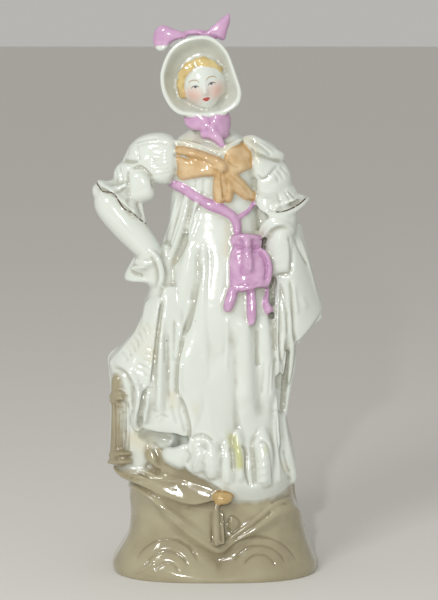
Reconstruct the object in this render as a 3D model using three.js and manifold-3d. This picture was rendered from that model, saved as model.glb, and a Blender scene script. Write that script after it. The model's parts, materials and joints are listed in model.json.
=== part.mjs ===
// Porcelain lady figurine in a poke bonnet, slip-cast in one piece with its rockwork base.
// Millimetres, +Z up, the figure faces -Y. The origin is the middle of the base's underside.
import * as THREE from "three";
import { mergeVertices } from "three/addons/utils/BufferGeometryUtils.js";
import Module from "manifold-3d";

const wasm = await Module();
wasm.setup();

// Driving heights above the table
const ROCK_TOP = 38.5;
const ROCK_SHOULDER = 50;
const HEM = 42;
const WAIST = 170;
const SHOULDER = 195;
const HEAD_MIDDLE = 217;

// Driving widths
const RIM_RADIUS = 17.2;
const HEAD_RADIUS = 9.4;
const HEAD_LEAN = THREE.MathUtils.degToRad(-8);

const clamp01 = (v) => Math.min(Math.max(v, 0), 1);
const soft = (v) => clamp01(v) ** 2 * (3 - 2 * clamp01(v));
const bell = (distance, width) => Math.exp(-((distance / width) ** 2));

// A smooth curve through rows of numbers; u runs from 0 at the first row to 1 at the last
function along(rows, u) {
  const last = rows.length - 1;
  const s = clamp01(u) * last;
  const i = Math.min(Math.floor(s), last - 1);
  const t = s - i;
  const row = (k) => rows[Math.min(Math.max(k, 0), last)];
  return rows[0].map((_, c) => {
    const [a, b, d, e] = [row(i - 1)[c], row(i)[c], row(i + 1)[c], row(i + 2)[c]];
    const curve = (2 * a - 5 * b + 4 * d - e) * t * t + (3 * b - a - 3 * d + e) * t ** 3;
    return 0.5 * (2 * b + (d - a) * t + curve);
  });
}

// Height of carved strokes at a point of the front view. Each stroke is a path of [x, z] points.
function carved(strokes, x, z) {
  let sum = 0;
  for (const { path, width, height } of strokes) {
    let nearest = Infinity;
    for (let i = 1; i < path.length; i++) {
      const [ax, az] = path[i - 1];
      const [bx, bz] = path[i];
      const run = (bx - ax) ** 2 + (bz - az) ** 2;
      const t = clamp01(((x - ax) * (bx - ax) + (z - az) * (bz - az)) / run);
      nearest = Math.min(nearest, Math.hypot(x - ax - t * (bx - ax), z - az - t * (bz - az)));
    }
    sum += height * bell(nearest, width);
  }
  return sum;
}

// Moves every vertex of a closed geometry by a function and returns it as a solid
function solid(geometry, move) {
  geometry.deleteAttribute("normal");
  geometry.deleteAttribute("uv");
  const merged = mergeVertices(geometry, 1e-4);
  const place = merged.attributes.position;
  const point = new THREE.Vector3();
  for (let i = 0; i < place.count; i++) {
    const moved = move(point.fromBufferAttribute(place, i));
    place.setXYZ(i, moved.x, moved.y, moved.z);
  }
  const corners = merged.index.array;
  const kept = [];
  for (let i = 0; i < corners.length; i += 3) {
    const [a, b, c] = corners.slice(i, i + 3);
    if (a !== b && b !== c && c !== a) kept.push(a, b, c);
  }
  return new wasm.Manifold(
    new wasm.Mesh({
      numProp: 3,
      vertProperties: Float32Array.from(place.array),
      triVerts: Uint32Array.from(kept),
    }),
  );
}

// A standing form from rows of [z, left, right, front, back]; square is 2 for an oval, more for a box.
// crowd gathers the facets towards the front, where the folds are.
function column(rows, { around, steps, square = 2.2, crowd = 0.3, relief = () => 0, lift = (x, y, z) => z }) {
  const geometry = new THREE.CylinderGeometry(1, 1, 1, around, steps).rotateX(Math.PI / 2);
  const round = (v) => Math.sign(v) * Math.abs(v) ** (2 / square);
  return solid(geometry, (p) => {
    const [z, left, right, front, back] = along(rows, p.z + 0.5);
    const reach = Math.min(Math.hypot(p.x, p.y), 1);
    const even = Math.atan2(p.y, p.x);
    const turn = even - crowd * Math.cos(even);
    const x = (left + right) / 2 + ((right - left) / 2) * round(Math.cos(turn)) * reach;
    const y = (front + back) / 2 + ((back - front) / 2) * round(Math.sin(turn)) * reach;
    const out = relief(x, y, z, turn) * reach;
    return new THREE.Vector3(x + Math.cos(turn) * out, y + Math.sin(turn) * out, lift(x, y, z));
  });
}

// The front face of such a form at a point of the front view
function frontOf(rows, square, x, z) {
  let u = 0.5;
  for (let step = 0.25; step > 1e-4; step /= 2) u += along(rows, u)[0] < z ? step : -step;
  const [, left, right, front, back] = along(rows, u);
  const share = clamp01(Math.abs(x - (left + right) / 2) / ((right - left) / 2));
  return (front + back) / 2 - ((back - front) / 2) * (1 - share ** square) ** (1 / square);
}

// A round-ended limb, ribbon or ridge along rows of [x, y, z, half width, half depth].
// The half depth lies along facing.
function limb(rows, { around = 8, steps = 8, ends = 0.16, facing = [0, -1, 0] } = {}) {
  const face = new THREE.Vector3(...facing);
  return solid(new THREE.SphereGeometry(1, around, steps), (p) => {
    const t = Math.acos(THREE.MathUtils.clamp(p.y, -1, 1)) / Math.PI;
    const girth = Math.max(Math.hypot(p.x, p.z), 1e-9);
    const [x, y, z, wide, deep = wide] = along(rows, t);
    const [x0, y0, z0] = along(rows, t - 0.03);
    const [x1, y1, z1] = along(rows, t + 0.03);
    const run = new THREE.Vector3(x1 - x0, y1 - y0, z1 - z0).normalize();
    const across = new THREE.Vector3().crossVectors(run, face).normalize();
    const through = new THREE.Vector3().crossVectors(run, across);
    const toEnd = clamp01(Math.min(t, 1 - t) / ends);
    const swell = Math.sqrt(1 - (1 - toEnd) ** 2) / girth;
    const atPole = girth < 1e-6 ? 0 : 1;
    return new THREE.Vector3(x, y, z)
      .addScaledVector(across, p.x * wide * swell * atPole)
      .addScaledVector(through, p.z * deep * swell * atPole);
  });
}

// An ellipsoid with its own turn, in degrees about X, Y and Z
function ball(centre, radii, { turn = [0, 0, 0], around = 16, steps = 10, relief = () => 0 } = {}) {
  const [tx, ty, tz] = turn.map(THREE.MathUtils.degToRad);
  const spin = new THREE.Euler(tx, ty, tz);
  return solid(new THREE.SphereGeometry(1, around, steps), (p) => {
    const swell = 1 + relief(p.x, p.y, p.z);
    return new THREE.Vector3(p.x * radii[0], p.y * radii[1], p.z * radii[2])
      .multiplyScalar(swell)
      .applyEuler(spin)
      .add(new THREE.Vector3(...centre));
  });
}

// A turned form: rows of [distance along the axis, radius] that start and end on the axis.
// swell changes the radius with the angle and the row's share of the way.
function turned(rows, { start, toward, around = 20, swell = () => 1 }) {
  const profile = rows.map(([reach, radius]) => new THREE.Vector2(radius, reach));
  const axis = new THREE.Vector3(...toward).normalize();
  const spin = new THREE.Quaternion().setFromUnitVectors(new THREE.Vector3(0, 1, 0), axis);
  return solid(new THREE.LatheGeometry(profile, around), (p) => {
    const wide = swell(Math.atan2(p.z, p.x), p.y);
    return new THREE.Vector3(p.x * wide, p.y, p.z * wide)
      .applyQuaternion(spin)
      .add(new THREE.Vector3(...start));
  });
}

// A sheet of even thickness; at gives its middle for u across and v down, both from 0 to 1
function sheet(at, thickness, across, down) {
  return solid(new THREE.BoxGeometry(1, 1, 1, across, down, 1), (p) => {
    const [u, v] = [p.x + 0.5, 0.5 - p.y];
    const step = 0.02;
    const place = new THREE.Vector3(...at(u, v));
    const du = new THREE.Vector3(...at(u + step, v)).sub(new THREE.Vector3(...at(u - step, v)));
    const dv = new THREE.Vector3(...at(u, v - step)).sub(new THREE.Vector3(...at(u, v + step)));
    const normal = du.cross(dv).normalize();
    return place.addScaledVector(normal, p.z * thickness);
  });
}

const join = (forms) => forms.reduce((sum, form) => sum.add(form));

// Rockwork base: a flared foot, a waisted body and a V-shaped swag over its front
const rockRows = [
  [0, -44.8, 46.6, -32.5, 27.5],
  [3, -45.2, 46.8, -33, 28],
  [8, -42, 45, -31, 26.8],
  [15, -38.4, 42.6, -28.6, 26],
  [22, -37.2, 40.8, -27.4, 25.8],
  [30, -37.8, 38.8, -26.8, 25.6],
  [37, -38.8, 37, -26.3, 25.4],
  [44, -40, 36.6, -25, 25],
];
const ROCK_SQUARE = 2.8;
const SWAG_TIP = { x: 2.5, z: 14, rise: 0.76 };
const swagEdge = (x) => SWAG_TIP.z + SWAG_TIP.rise * Math.abs(x - SWAG_TIP.x);

// The rings of facets bend down at the front so that one of them runs along the swag's edge
const EDGE_RING = 0.6 * rockRows.at(-1)[0];
function rockLift(x, y, z) {
  const height = rockRows.at(-1)[0];
  const edge = Math.min(swagEdge(x), 34);
  const share = (z - EDGE_RING) / (height - EDGE_RING);
  const bent = z < EDGE_RING ? (z * edge) / EDGE_RING : edge + (height - edge) * share;
  const top = ROCK_TOP + (ROCK_SHOULDER - ROCK_TOP) * soft((-6 - x) / 32);
  const level = z + (bent - z) * soft((-4 - y) / 14);
  return (level / height) * (y < 6 ? top : top + 2);
}

function rockRelief(x, y, z) {
  if (y > 0) return 0.8 * Math.sin(x / 6) * bell(z - 24, 10);
  const edge = 2 * bell(z - EDGE_RING, 3) - 1.6 * bell(z - EDGE_RING + 8, 5);
  return edge * soft((-4 - y) / 14) - 1.4 * soft((z - EDGE_RING) / 14);
}

function rock() {
  const body = column(rockRows, {
    around: 26,
    steps: 10,
    square: ROCK_SQUARE,
    relief: rockRelief,
    lift: rockLift,
  });
  const tip = frontOf(rockRows, ROCK_SQUARE, SWAG_TIP.x, 20);
  const rib = limb(
    [
      [2.6, tip + 4, 34, 2, 2.4],
      [2.6, tip + 1.8, 26, 2.1, 2.4],
      [2.6, tip, 19, 2.3, 2.6],
      [2.6, tip - 0.6, 14.5, 2, 2],
    ],
    { around: 6, steps: 6 },
  );
  const lozenge = (x) => ball([x, tip + 2.4, 25.5], [3.6, 2, 4.6], { around: 6, steps: 5 });
  return join([body, rib, lozenge(9.2), lozenge(-4.2)]);
}

// High-waisted dress with its long folds; the hem opens over the rock
const dressRows = [
  [30, -10, 33.5, -21, 17],
  [HEM - 1, -11, 35.2, -27.6, 20.5],
  [46, -12.5, 36.8, -28, 21.4],
  [53, -15.5, 36.2, -26.5, 21.4],
  [62, -18.5, 33.6, -24.5, 21],
  [72, -21, 32.2, -23.5, 20.5],
  [84, -24, 33, -23, 20],
  [96, -26, 34.6, -22.3, 19.5],
  [108, -26, 33, -21.4, 18.5],
  [120, -24.5, 29, -20, 17],
  [132, -22.5, 26, -18, 15.5],
  [143, -20.6, 23.5, -16, 14],
  [153, -19.7, 21.2, -13.8, 12.5],
  [162, -18.8, 19.6, -12, 11.5],
  [WAIST, -18.4, 19, -11.2, 11],
  [177, -18.2, 19, -11.5, 10.8],
];
const DRESS_SQUARE = 2.3;

const dressStrokes = [
  { path: [[-8, 166], [-11.5, 155], [-14, 147], [-17, 138]], width: 2.6, height: -1.7 },
  { path: [[-4, 146], [-5.5, 134], [-7.5, 124], [-11, 111], [-15, 99]], width: 3, height: -1.8 },
  { path: [[-10, 148], [-12, 136], [-15, 122], [-18, 108]], width: 3, height: 1.2 },
  { path: [[0, 122], [-3, 106], [-5, 92]], width: 5, height: 1.4 },
  { path: [[8.5, 112], [8.6, 90], [9, 74], [10, 62]], width: 2.8, height: -1.2 },
  { path: [[19, 118], [19.3, 104], [20.5, 88], [21, 70]], width: 2.6, height: -1.4 },
  { path: [[26, 122], [27.5, 108], [29.5, 92], [30.5, 80]], width: 2.4, height: -1.7 },
  { path: [[14, 116], [14.5, 98], [15, 78]], width: 3.4, height: 0.9 },
  { path: [[23.5, 116], [24.5, 98], [25.8, 78]], width: 2.6, height: 1 },
  { path: [[28.2, 80], [28.5, 66], [30.5, 57], [32.5, 47]], width: 2, height: -2 },
  { path: [[19, 64], [18, 52], [18, 42]], width: 2.2, height: -1.6 },
  { path: [[24, 60], [23.5, 50], [23.5, 42]], width: 2.8, height: 1.3 },
  { path: [[12, 62], [12.5, 50], [12.5, 43]], width: 2.6, height: 1.7 },
  { path: [[6.5, 66], [6.5, 54], [7, 44]], width: 2.2, height: -1.5 },
  { path: [[-7, 64], [-5, 54], [-2, 46]], width: 4, height: 1.4 },
];

// Long pipes of the mantle down the back, deeper towards the hem
const BACK_PIPES = 5;
function dressRelief(x, y, z, turn) {
  if (y < 2) return carved(dressStrokes, x, z);
  const fall = soft((176 - z) / 90) * soft((z - 34) / 14);
  return fall * (1 + 1.7 * Math.cos(turn * 2 * BACK_PIPES));
}

function dress() {
  return column(dressRows, {
    around: 44,
    steps: 13,
    square: DRESS_SQUARE,
    relief: dressRelief,
  });
}

// The skirt's train, gathered up by the right hand and laid over a fluted post
const trainRows = [
  [42, -41, -16, -19, 17],
  [51, -45.8, -14, -19, 18],
  [58, -46, -12, -19.5, 18],
  [66, -45.4, -11, -21.5, 17.5],
  [74, -45, -10.5, -23, 17],
  [82, -45, -10.5, -23, 16],
  [89, -45.8, -11, -22, 15],
  [95, -46, -12, -20.5, 14],
  [101, -40.6, -12.5, -19, 13],
  [108, -34.6, -13, -17.5, 12],
  [116, -31.2, -13.5, -16.5, 11],
  [124, -29, -14, -15.5, 10],
  [131, -27.6, -14, -14, 9],
  [138, -25.6, -15, -11.5, 8],
  [146, -22.6, -15.5, -8.5, 7],
];
const TRAIN_SQUARE = 2.6;

const trainStrokes = [
  { path: [[-23, 128], [-24.5, 112], [-25.5, 96], [-26, 88]], width: 2, height: -2.2 },
  { path: [[-26, 88], [-29.5, 82], [-30.5, 76], [-31, 68]], width: 2, height: -2.6 },
  { path: [[-44, 88], [-40, 86], [-38, 80], [-39, 68], [-40, 60]], width: 4.4, height: -2.2 },
  { path: [[-20, 122], [-20.5, 106], [-21, 90], [-22, 76]], width: 3.4, height: 1.6 },
  { path: [[-29, 118], [-32, 106], [-37, 99]], width: 2.4, height: 1.2 },
];

function train() {
  const cloth = column(trainRows, {
    around: 26,
    steps: 11,
    square: TRAIN_SQUARE,
    relief: (x, y, z) => (y < 0 ? carved(trainStrokes, x, z) : 1.2 * Math.sin(x / 2.6) * bell(z - 90, 40)),
  });
  const hollow = ball([-23, -25, 60.8], [10.5, 7, 4.6], { turn: [0, 10, 0], around: 9, steps: 5 });
  const hemRoll = limb(
    [
      [-21.4, -19, 55.4, 1.4, 3],
      [-17.5, -19, 55, 3, 5.4],
      [-14, -19, 56.4, 3.8, 6],
      [-11, -18.4, 59.6, 3, 5],
    ],
    { around: 7, steps: 5 },
  );
  const cornerFold = limb(
    [
      [-44, -16.5, 96, 1.6],
      [-40, -20, 94.4, 2.4],
      [-35.5, -21.6, 90, 2.6],
      [-33.6, -21.6, 82, 2.4],
      [-33.2, -21.4, 74, 2.2],
      [-34.4, -20.8, 67.6, 2],
    ],
    { around: 6, steps: 7 },
  );
  return cloth.subtract(hollow).add(hemRoll).add(cornerFold);
}

// Flutes and mouldings on the front of the post
const POST = { left: -43.6, right: -37, flutes: 4, foot: 57, top: 75 };
function post() {
  const skin = (x, z) => frontOf(trainRows, TRAIN_SQUARE, x, z);
  const forms = [];
  for (let i = 0; i < POST.flutes; i++) {
    const x = POST.left + ((POST.right - POST.left) * i) / (POST.flutes - 1);
    forms.push(
      limb(
        [
          [x, skin(x, POST.foot) + 2, POST.foot, 0.7, 2.4],
          [x, skin(x, 66) + 2, 66, 0.75, 2.4],
          [x, skin(x, POST.top) + 2, POST.top, 0.7, 2.4],
        ],
        { around: 4, steps: 4 },
      ),
    );
  }
  for (const z of [53.5, 79.5]) {
    forms.push(
      limb(
        [-44, -40, -36].map((x) => [x, skin(x, z) + 1.8, z, 1.4, 2.6]),
        { around: 5, steps: 5 },
      ),
    );
  }
  return join(forms);
}

// Bodice, chest and neck
const bodiceRows = [
  [163, -18.5, 19, -11.4, 11],
  [170, -18.4, 19, -11.8, 11.4],
  [176, -18.6, 19.4, -13, 11.4],
  [182, -19, 19.4, -13.6, 11],
  [188, -18.5, 18.6, -11.8, 10],
  [192, -16, 14.5, -8.5, 9],
  [SHOULDER + 0.5, -11, 8.5, -5.6, 8],
  [SHOULDER + 2.5, -7.2, 3.6, -4, 6.6],
];
const BODICE_SQUARE = 2.3;

function bodice() {
  const body = column(bodiceRows, { around: 16, steps: 5, square: BODICE_SQUARE });
  const neck = limb(
    [
      [-2.2, 2, SHOULDER - 8, 7, 6.6],
      [-2.4, 1.6, SHOULDER + 1, 6, 6],
      [-2.8, 1, SHOULDER + 9, 5.6, 5.8],
      [-3.4, 0, SHOULDER + 15, 5.4, 5.4],
    ],
    { around: 8, steps: 5 },
  );
  return join([body, neck]);
}

// The gold sash knotted over the bust
function sash() {
  const leftSwathe = limb(
    [
      [3, -13.4, 181, 2.6, 2.2],
      [-2, -14.2, 182.2, 4.6, 2.8],
      [-8, -13.2, 182.6, 6.6, 3.4],
      [-13.5, -10.4, 183, 6.6, 3],
      [-17, -7.6, 185.4, 4, 2],
    ],
    { around: 8, steps: 6 },
  );
  const rightLobe = ball([11.4, -10.8, 184.6], [7, 5.6, 6.2], { around: 10, steps: 7 });
  const knot = ball([3.7, -14.4, 181], [2.8, 2.8, 2.8], { around: 6, steps: 5 });
  const leftTail = limb(
    [
      [3.8, -15.4, 180, 1.8, 1.4],
      [4, -15, 175, 2.6, 1.5],
      [4.3, -14, 170, 3.1, 1.6],
      [4.6, -13.4, 166, 3, 1.3],
    ],
    { around: 6, steps: 5 },
  );
  const rightTail = limb(
    [
      [5, -15.6, 179.4, 1.8, 1.4],
      [9, -15.8, 176, 2.6, 1.6],
      [13, -14.6, 172.2, 2.7, 1.6],
      [16.6, -12, 168.8, 1.8, 1.2],
    ],
    { around: 6, steps: 5 },
  );
  return join([leftSwathe, rightLobe, knot, leftTail, rightTail]);
}

// Puffed sleeves gathered at a band, then a flared cuff
const LEFT_CUFF = { start: [-33.4, -1.5, 172.6], toward: [-0.66, -0.12, -0.74], rim: 14.6 };
const RIGHT_CUFF = { start: [27.6, -1.5, 172], toward: [0.36, -0.12, -0.93], rim: 10.2 };

function cuff({ start, toward, rim }, length) {
  const rows = [
    [-1, 0],
    [length * 0.3, 6.8],
    [length * 0.78, rim * 0.78],
    [length - 0.6, rim * 0.97],
    [length + 0.5, rim],
    [length + 0.7, rim * 0.9],
    [length - 3, 6.2],
    [length - 4, 0],
  ];
  return turned(rows, {
    start,
    toward,
    around: 14,
    swell: (turn, reach) => 1 + 0.05 * soft(reach / length) * Math.cos(turn * 7),
  });
}

function sleeves() {
  const gather = (x, y, z) => 0.025 * Math.cos(Math.atan2(z, y) * 6) * (1 - x * x);
  return join([
    ball([-26.4, 0, 183.4], [12.3, 11.2, 12.1], { around: 14, steps: 8, relief: gather }),
    ball([-34, -1, 174.6], [9.1, 9, 8], { around: 10, steps: 6, relief: gather }),
    ball([-30, -8, 175.4], [6, 3.6, 6], { around: 7, steps: 5 }),
    cuff(LEFT_CUFF, 10.4),
    ball([20.6, 0, 184.6], [12, 10.4, 8.6], { turn: [0, 24, 0], around: 14, steps: 8, relief: gather }),
    ball([25.8, -1, 175.6], [8.2, 8.6, 7.2], { around: 10, steps: 6, relief: gather }),
    cuff(RIGHT_CUFF, 9.2),
  ]);
}

// Right forearm with the hand turned back on the hip
function rightArm() {
  const forearm = limb(
    [
      [-46.6, -3, 171.4, 5.6],
      [-44.6, -4, 164, 7.2],
      [-38.2, -6, 155.4, 7],
      [-31.6, -7.4, 148, 6.4],
      [-27.6, -8.6, 142.6, 5.4],
      [-26.4, -9, 138, 4.6],
    ],
    { around: 8, steps: 6, ends: 0.2 },
  );
  const palm = ball([-27.6, -8.6, 137], [6.6, 5, 7], { turn: [0, 12, 0], around: 8, steps: 5 });
  const fingers = [
    [140.2, 139, -35],
    [138, 136.8, -36.6],
    [135.8, 134.8, -37],
    [133.6, 133, -36.4],
  ].map(([knuckle, tip, reach]) =>
    limb(
      [
        [-27, -9.5, knuckle, 1.9],
        [-32, -10, (knuckle + tip) / 2, 1.8],
        [reach, -8.8, tip, 1.5],
      ],
      { around: 4, steps: 4 },
    ),
  );
  const cuffRoll = limb(
    [
      [-26.5, -12, 146.5, 1.4],
      [-23.2, -13.4, 141.4, 1.7],
      [-22.2, -14, 135.6, 1.7],
      [-23, -14.4, 130.6, 1.6],
      [-25, -13.6, 127.6, 1.2],
    ],
    { around: 5, steps: 5 },
  );
  return join([forearm, palm, ...fingers, cuffRoll]);
}

// Left forearm foreshortened towards the viewer, with the mantle looped over it
function leftArm() {
  const forearm = limb(
    [
      [31, -1, 166, 5],
      [31, -6, 158, 6],
      [29.6, -10, 150, 6.2],
      [29, -12.4, 143, 5.8],
      [29.4, -13, 137, 4.8],
    ],
    { around: 9, steps: 6, ends: 0.2 },
  );
  const loops = [
    [
      [21.6, -9, 149, 1.3],
      [24, -12.5, 154.6, 1.5],
      [28.8, -13.6, 157.8, 1.6],
      [33.4, -11, 156.4, 1.5],
      [36.2, -6, 150, 1.3],
    ],
    [
      [23.4, -12.4, 148, 1],
      [25.6, -15.2, 153, 1.2],
      [29, -16, 155, 1.2],
      [32.8, -14.4, 153.6, 1.2],
      [35, -10, 147, 1],
    ],
  ].map((rows) => limb(rows, { around: 5, steps: 6 }));
  return join([forearm, ...loops]);
}

// The mantle's end: over the forearm to a point at the side, round behind the arm and into the back
function mantle() {
  const behindArm = limb(
    [
      [20, 3, 176, 4, 5],
      [22.4, 3, 166, 6, 7],
      [25.4, 3, 154, 9.4, 9],
      [28.4, 2, 140, 11, 10.6],
      [32, 1.4, 124, 11, 11],
      [33, 1.6, 106, 8, 10],
    ],
    { around: 8, steps: 5 },
  );
  const top = [[22, -2, 154], [31, -6, 156], [36.8, 1, 154], [30, 9, 157], [13, 5, 163]];
  const middle = [[27, -11, 130], [35, -12.5, 130], [42.6, 0, 131], [35, 13, 131], [15, 8, 136]];
  const foot = [[27, -8, 98], [36.6, -10, 103.6], [46.8, -1, 116.4], [38, 15, 107], [20, 11, 106]];
  const at = (u, v) => {
    const row = along([along(top, u), along(middle, u), along(foot, u)], v);
    return [row[0], row[1] + 1.1 * Math.sin(u * 14) * v, row[2]];
  };
  return sheet(at, 5, 8, 5).add(behindArm);
}

// Head with its fringe, and the poke bonnet around it
const HEAD = [-4.2, -1.2, HEAD_MIDDLE];
function leaned([x, y, z]) {
  const [c, s] = [Math.cos(HEAD_LEAN), Math.sin(HEAD_LEAN)];
  return [HEAD[0] + c * x + s * z, HEAD[1] + y, HEAD[2] - s * x + c * z];
}
const leanedRows = (rows) => rows.map(([x, y, z, ...girth]) => [...leaned([x, y, z]), ...girth]);

// A calm doll's face: the brow, cheeks and jaw of an egg, with a small nose, lips and chin
function faceRelief(x, y, z) {
  const front = soft(-y / 0.6);
  const jaw = -0.17 * bell(Math.abs(x) - 0.66, 0.32) * soft((-z - 0.1) / 0.6);
  const nose = 0.17 * bell(x, 0.14) * bell(z + 0.1, 0.17);
  const sockets = -0.05 * bell(Math.abs(x) - 0.36, 0.16) * bell(z - 0.1, 0.14);
  const chin = 0.05 * bell(x, 0.3) * bell(z + 0.8, 0.2);
  return jaw + front * (nose + sockets + chin);
}

function head() {
  const leanTurn = [0, THREE.MathUtils.radToDeg(HEAD_LEAN), 0];
  const skull = ball(leaned([0, -0.4, -0.6]), [HEAD_RADIUS, 10.4, 11.6], {
    turn: leanTurn,
    around: 16,
    steps: 10,
    relief: faceRelief,
  });
  const fringe = limb(
    leanedRows([
      [-8.6, -3.6, -3.6, 1.6, 1.6],
      [-8.2, -4.6, 2, 2, 2],
      [-6, -6.2, 6.6, 2.3, 2.3],
      [0, -7, 9.2, 2.3, 2.4],
      [5.4, -6.4, 7, 2.2, 2.2],
      [8, -4.6, 3.4, 1.7, 1.7],
    ]),
    { around: 6, steps: 7 },
  );
  return join([skull, fringe]);
}

function bonnet() {
  const rows = [
    [-17.5, 0],
    [-16.4, 7.5],
    [-12, 12.6],
    [-6, 13.6],
    [-1, 12.4],
    [3, 13.6],
    [8, RIM_RADIUS - 1],
    [10.4, RIM_RADIUS],
    [11, RIM_RADIUS - 0.9],
    [8, RIM_RADIUS - 3.4],
    [3, 11],
    [2.6, 0],
  ];
  // The brim is wide at the jaw and narrower at the top and under the chin
  const egg = (turn, reach) => {
    const down = Math.sin(turn + HEAD_LEAN);
    return 1 + soft((reach + 4) / 10) * (0.09 * bell(down + 0.62, 0.42) - 0.02 * (1 + down));
  };
  const shell = turned(rows, {
    start: [-5, 0.6, HEAD_MIDDLE + 2.4],
    toward: [0, -1, 0],
    around: 20,
    swell: egg,
  });
  const napeCurtain = ball([-3.4, 5.4, 204], [8.4, 6.4, 6.6], { around: 8, steps: 6 });
  return shell.add(napeCurtain);
}

// Ribbon bows in mauve: one on the bonnet, one under the chin
function ribbons() {
  const bonnetLeft = limb(
    [
      [-7, -6, 238, 1.4, 2],
      [-13, -6, 238.2, 1.9, 2.4],
      [-18, -6.4, 237.2, 4, 3.6],
      [-22, -6.4, 235.8, 5, 4],
      [-24.4, -6, 235.4, 3, 2.6],
    ],
    { around: 8, steps: 7 },
  );
  const bonnetRight = limb(
    [
      [-8, -6, 238, 1.4, 2],
      [-3, -6, 238.2, 1.6, 2.4],
      [1, -6.2, 239, 3.2, 3.4],
      [4.4, -6.2, 241, 4.4, 3.4],
      [6.3, -6, 244.4, 1.6, 1.6],
    ],
    { around: 7, steps: 7 },
  );
  const neckLeft = limb(
    [
      [0, -7, 200.8, 2.4, 2.2],
      [-4, -8.4, 200.9, 3.6, 2.6],
      [-8.6, -7.6, 200.9, 3.9, 2.8],
      [-12, -5, 200.9, 2.8, 2.2],
    ],
    { around: 7, steps: 5 },
  );
  const neckRight = limb(
    [
      [-1.4, -7, 200.6, 2.4, 2.2],
      [2, -8.6, 200.4, 4.2, 3],
      [5, -8, 200.4, 4.6, 3],
      [8, -5, 200.6, 3, 2],
    ],
    { around: 7, steps: 5 },
  );
  const neckTail = limb(
    [
      [-1.4, -8.4, 198.4, 2.4, 1.8],
      [0.2, -9.2, 195, 3, 1.6],
      [2, -9.8, 192.6, 2.4, 1.4],
      [3.8, -10.4, 190.4, 1.2, 1],
    ],
    { around: 5, steps: 4 },
  );
  const knot = ball([-7.5, -4.6, 236.2], [4.4, 3.6, 3], { around: 7, steps: 5 });
  return join([bonnetLeft, bonnetRight, knot, neckLeft, neckRight, neckTail]);
}

// Reticule on its ribbon, with three tassels
const dressFront = (x, z) => frontOf(dressRows, DRESS_SQUARE, x, z);
function reticule() {
  const ribbon = limb(
    [
      [-19.4, 172.6, 1.8],
      [-14.5, 172.2, 2],
      [-9.5, 169, 1.9],
      [-4.5, 165.4, 1.9],
      [0.5, 163.2, 1.9],
      [5.5, 160.6, 1.7],
      [9, 157.6, 1.6],
      [11.4, 153.4, 1.4],
      [12, 150, 1.4],
    ].map(([x, z, wide]) => [x, dressFront(x, z) - 0.4, z, wide, 1.4]),
    { around: 5, steps: 11, ends: 0.1 },
  );
  const strand = limb(
    [
      [17.4, 168, 1],
      [16.2, 163, 1],
      [13.6, 159.4, 1.2],
      [10.4, 157.4, 1],
    ].map(([x, z, wide]) => [x, dressFront(x, z) - 0.4, z, wide, 1.1]),
    { around: 5, steps: 5 },
  );
  const bag = ball([16.1, -17, 136.6], [8.8, 5.6, 9.8], { around: 10, steps: 7 });
  const loop = limb(
    [
      [20, -17, 146, 1],
      [23.6, -17.4, 141.6, 1.2],
      [25, -17.4, 136, 1.3],
      [23.6, -18, 130, 1.1],
      [20.6, -18.6, 127.6, 1],
    ],
    { around: 5, steps: 5 },
  );
  const collar = limb(
    [
      [14.4, -15.4, 152, 5.2, 4],
      [14.5, -16.6, 149, 5.4, 4.2],
      [14.7, -17, 146, 5.1, 4],
      [15.4, -17, 141, 6.6, 4.6],
    ],
    { around: 8, steps: 5, ends: 0.12 },
  );
  const tassel = (x, z, toX, toZ) =>
    limb(
      [
        [x, -18.4, z + 2, 1.9],
        [(x + toX) / 2, -20.8, (z + toZ) / 2, 2],
        [toX, -20.9, toZ, 1.5],
      ],
      { around: 5, steps: 4 },
    );
  return join([
    ribbon,
    strand,
    bag,
    loop,
    collar,
    tassel(10.4, 130, 6.6, 119.6),
    tassel(16, 128, 16.8, 113),
    tassel(20.8, 130, 24.2, 118.4),
  ]);
}

// The toe of a slipper under the hem
function slipper() {
  return limb(
    [
      [4.2, -20, 38.4, 4, 2.6],
      [4.2, -26, 37.8, 4.2, 2.6],
      [4.2, -31, 36.6, 3.2, 2],
    ],
    { around: 8, steps: 5, ends: 0.3, facing: [0, 0, 1] },
  );
}

const figure = join([
  rock(),
  dress(),
  train(),
  post(),
  bodice(),
  sash(),
  sleeves(),
  rightArm(),
  leftArm(),
  mantle(),
  head(),
  bonnet(),
  ribbons(),
  reticule(),
  slipper(),
]);

// The solid as a three.js mesh
function meshOf(form, name, material) {
  const { numProp, vertProperties, triVerts, numVert } = form.getMesh();
  const place = new Float32Array(numVert * 3);
  for (let i = 0; i < numVert; i++) {
    place.set(vertProperties.subarray(i * numProp, i * numProp + 3), i * 3);
  }
  const geometry = new THREE.BufferGeometry();
  geometry.setAttribute("position", new THREE.BufferAttribute(place, 3));
  geometry.setIndex(new THREE.BufferAttribute(Uint32Array.from(triVerts), 1));
  geometry.computeVertexNormals();
  const mesh = new THREE.Mesh(geometry, material);
  mesh.name = name;
  return mesh;
}

const glaze = new THREE.MeshStandardMaterial({ color: 0xdfe2da, roughness: 0.12, metalness: 0 });
const part = new THREE.Group();
part.add(meshOf(figure, "lady_figurine", glaze));

export default part;
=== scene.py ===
import json
import math

import bpy
import numpy as np
from mathutils import Euler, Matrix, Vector
from mathutils.bvhtree import BVHTree

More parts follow.
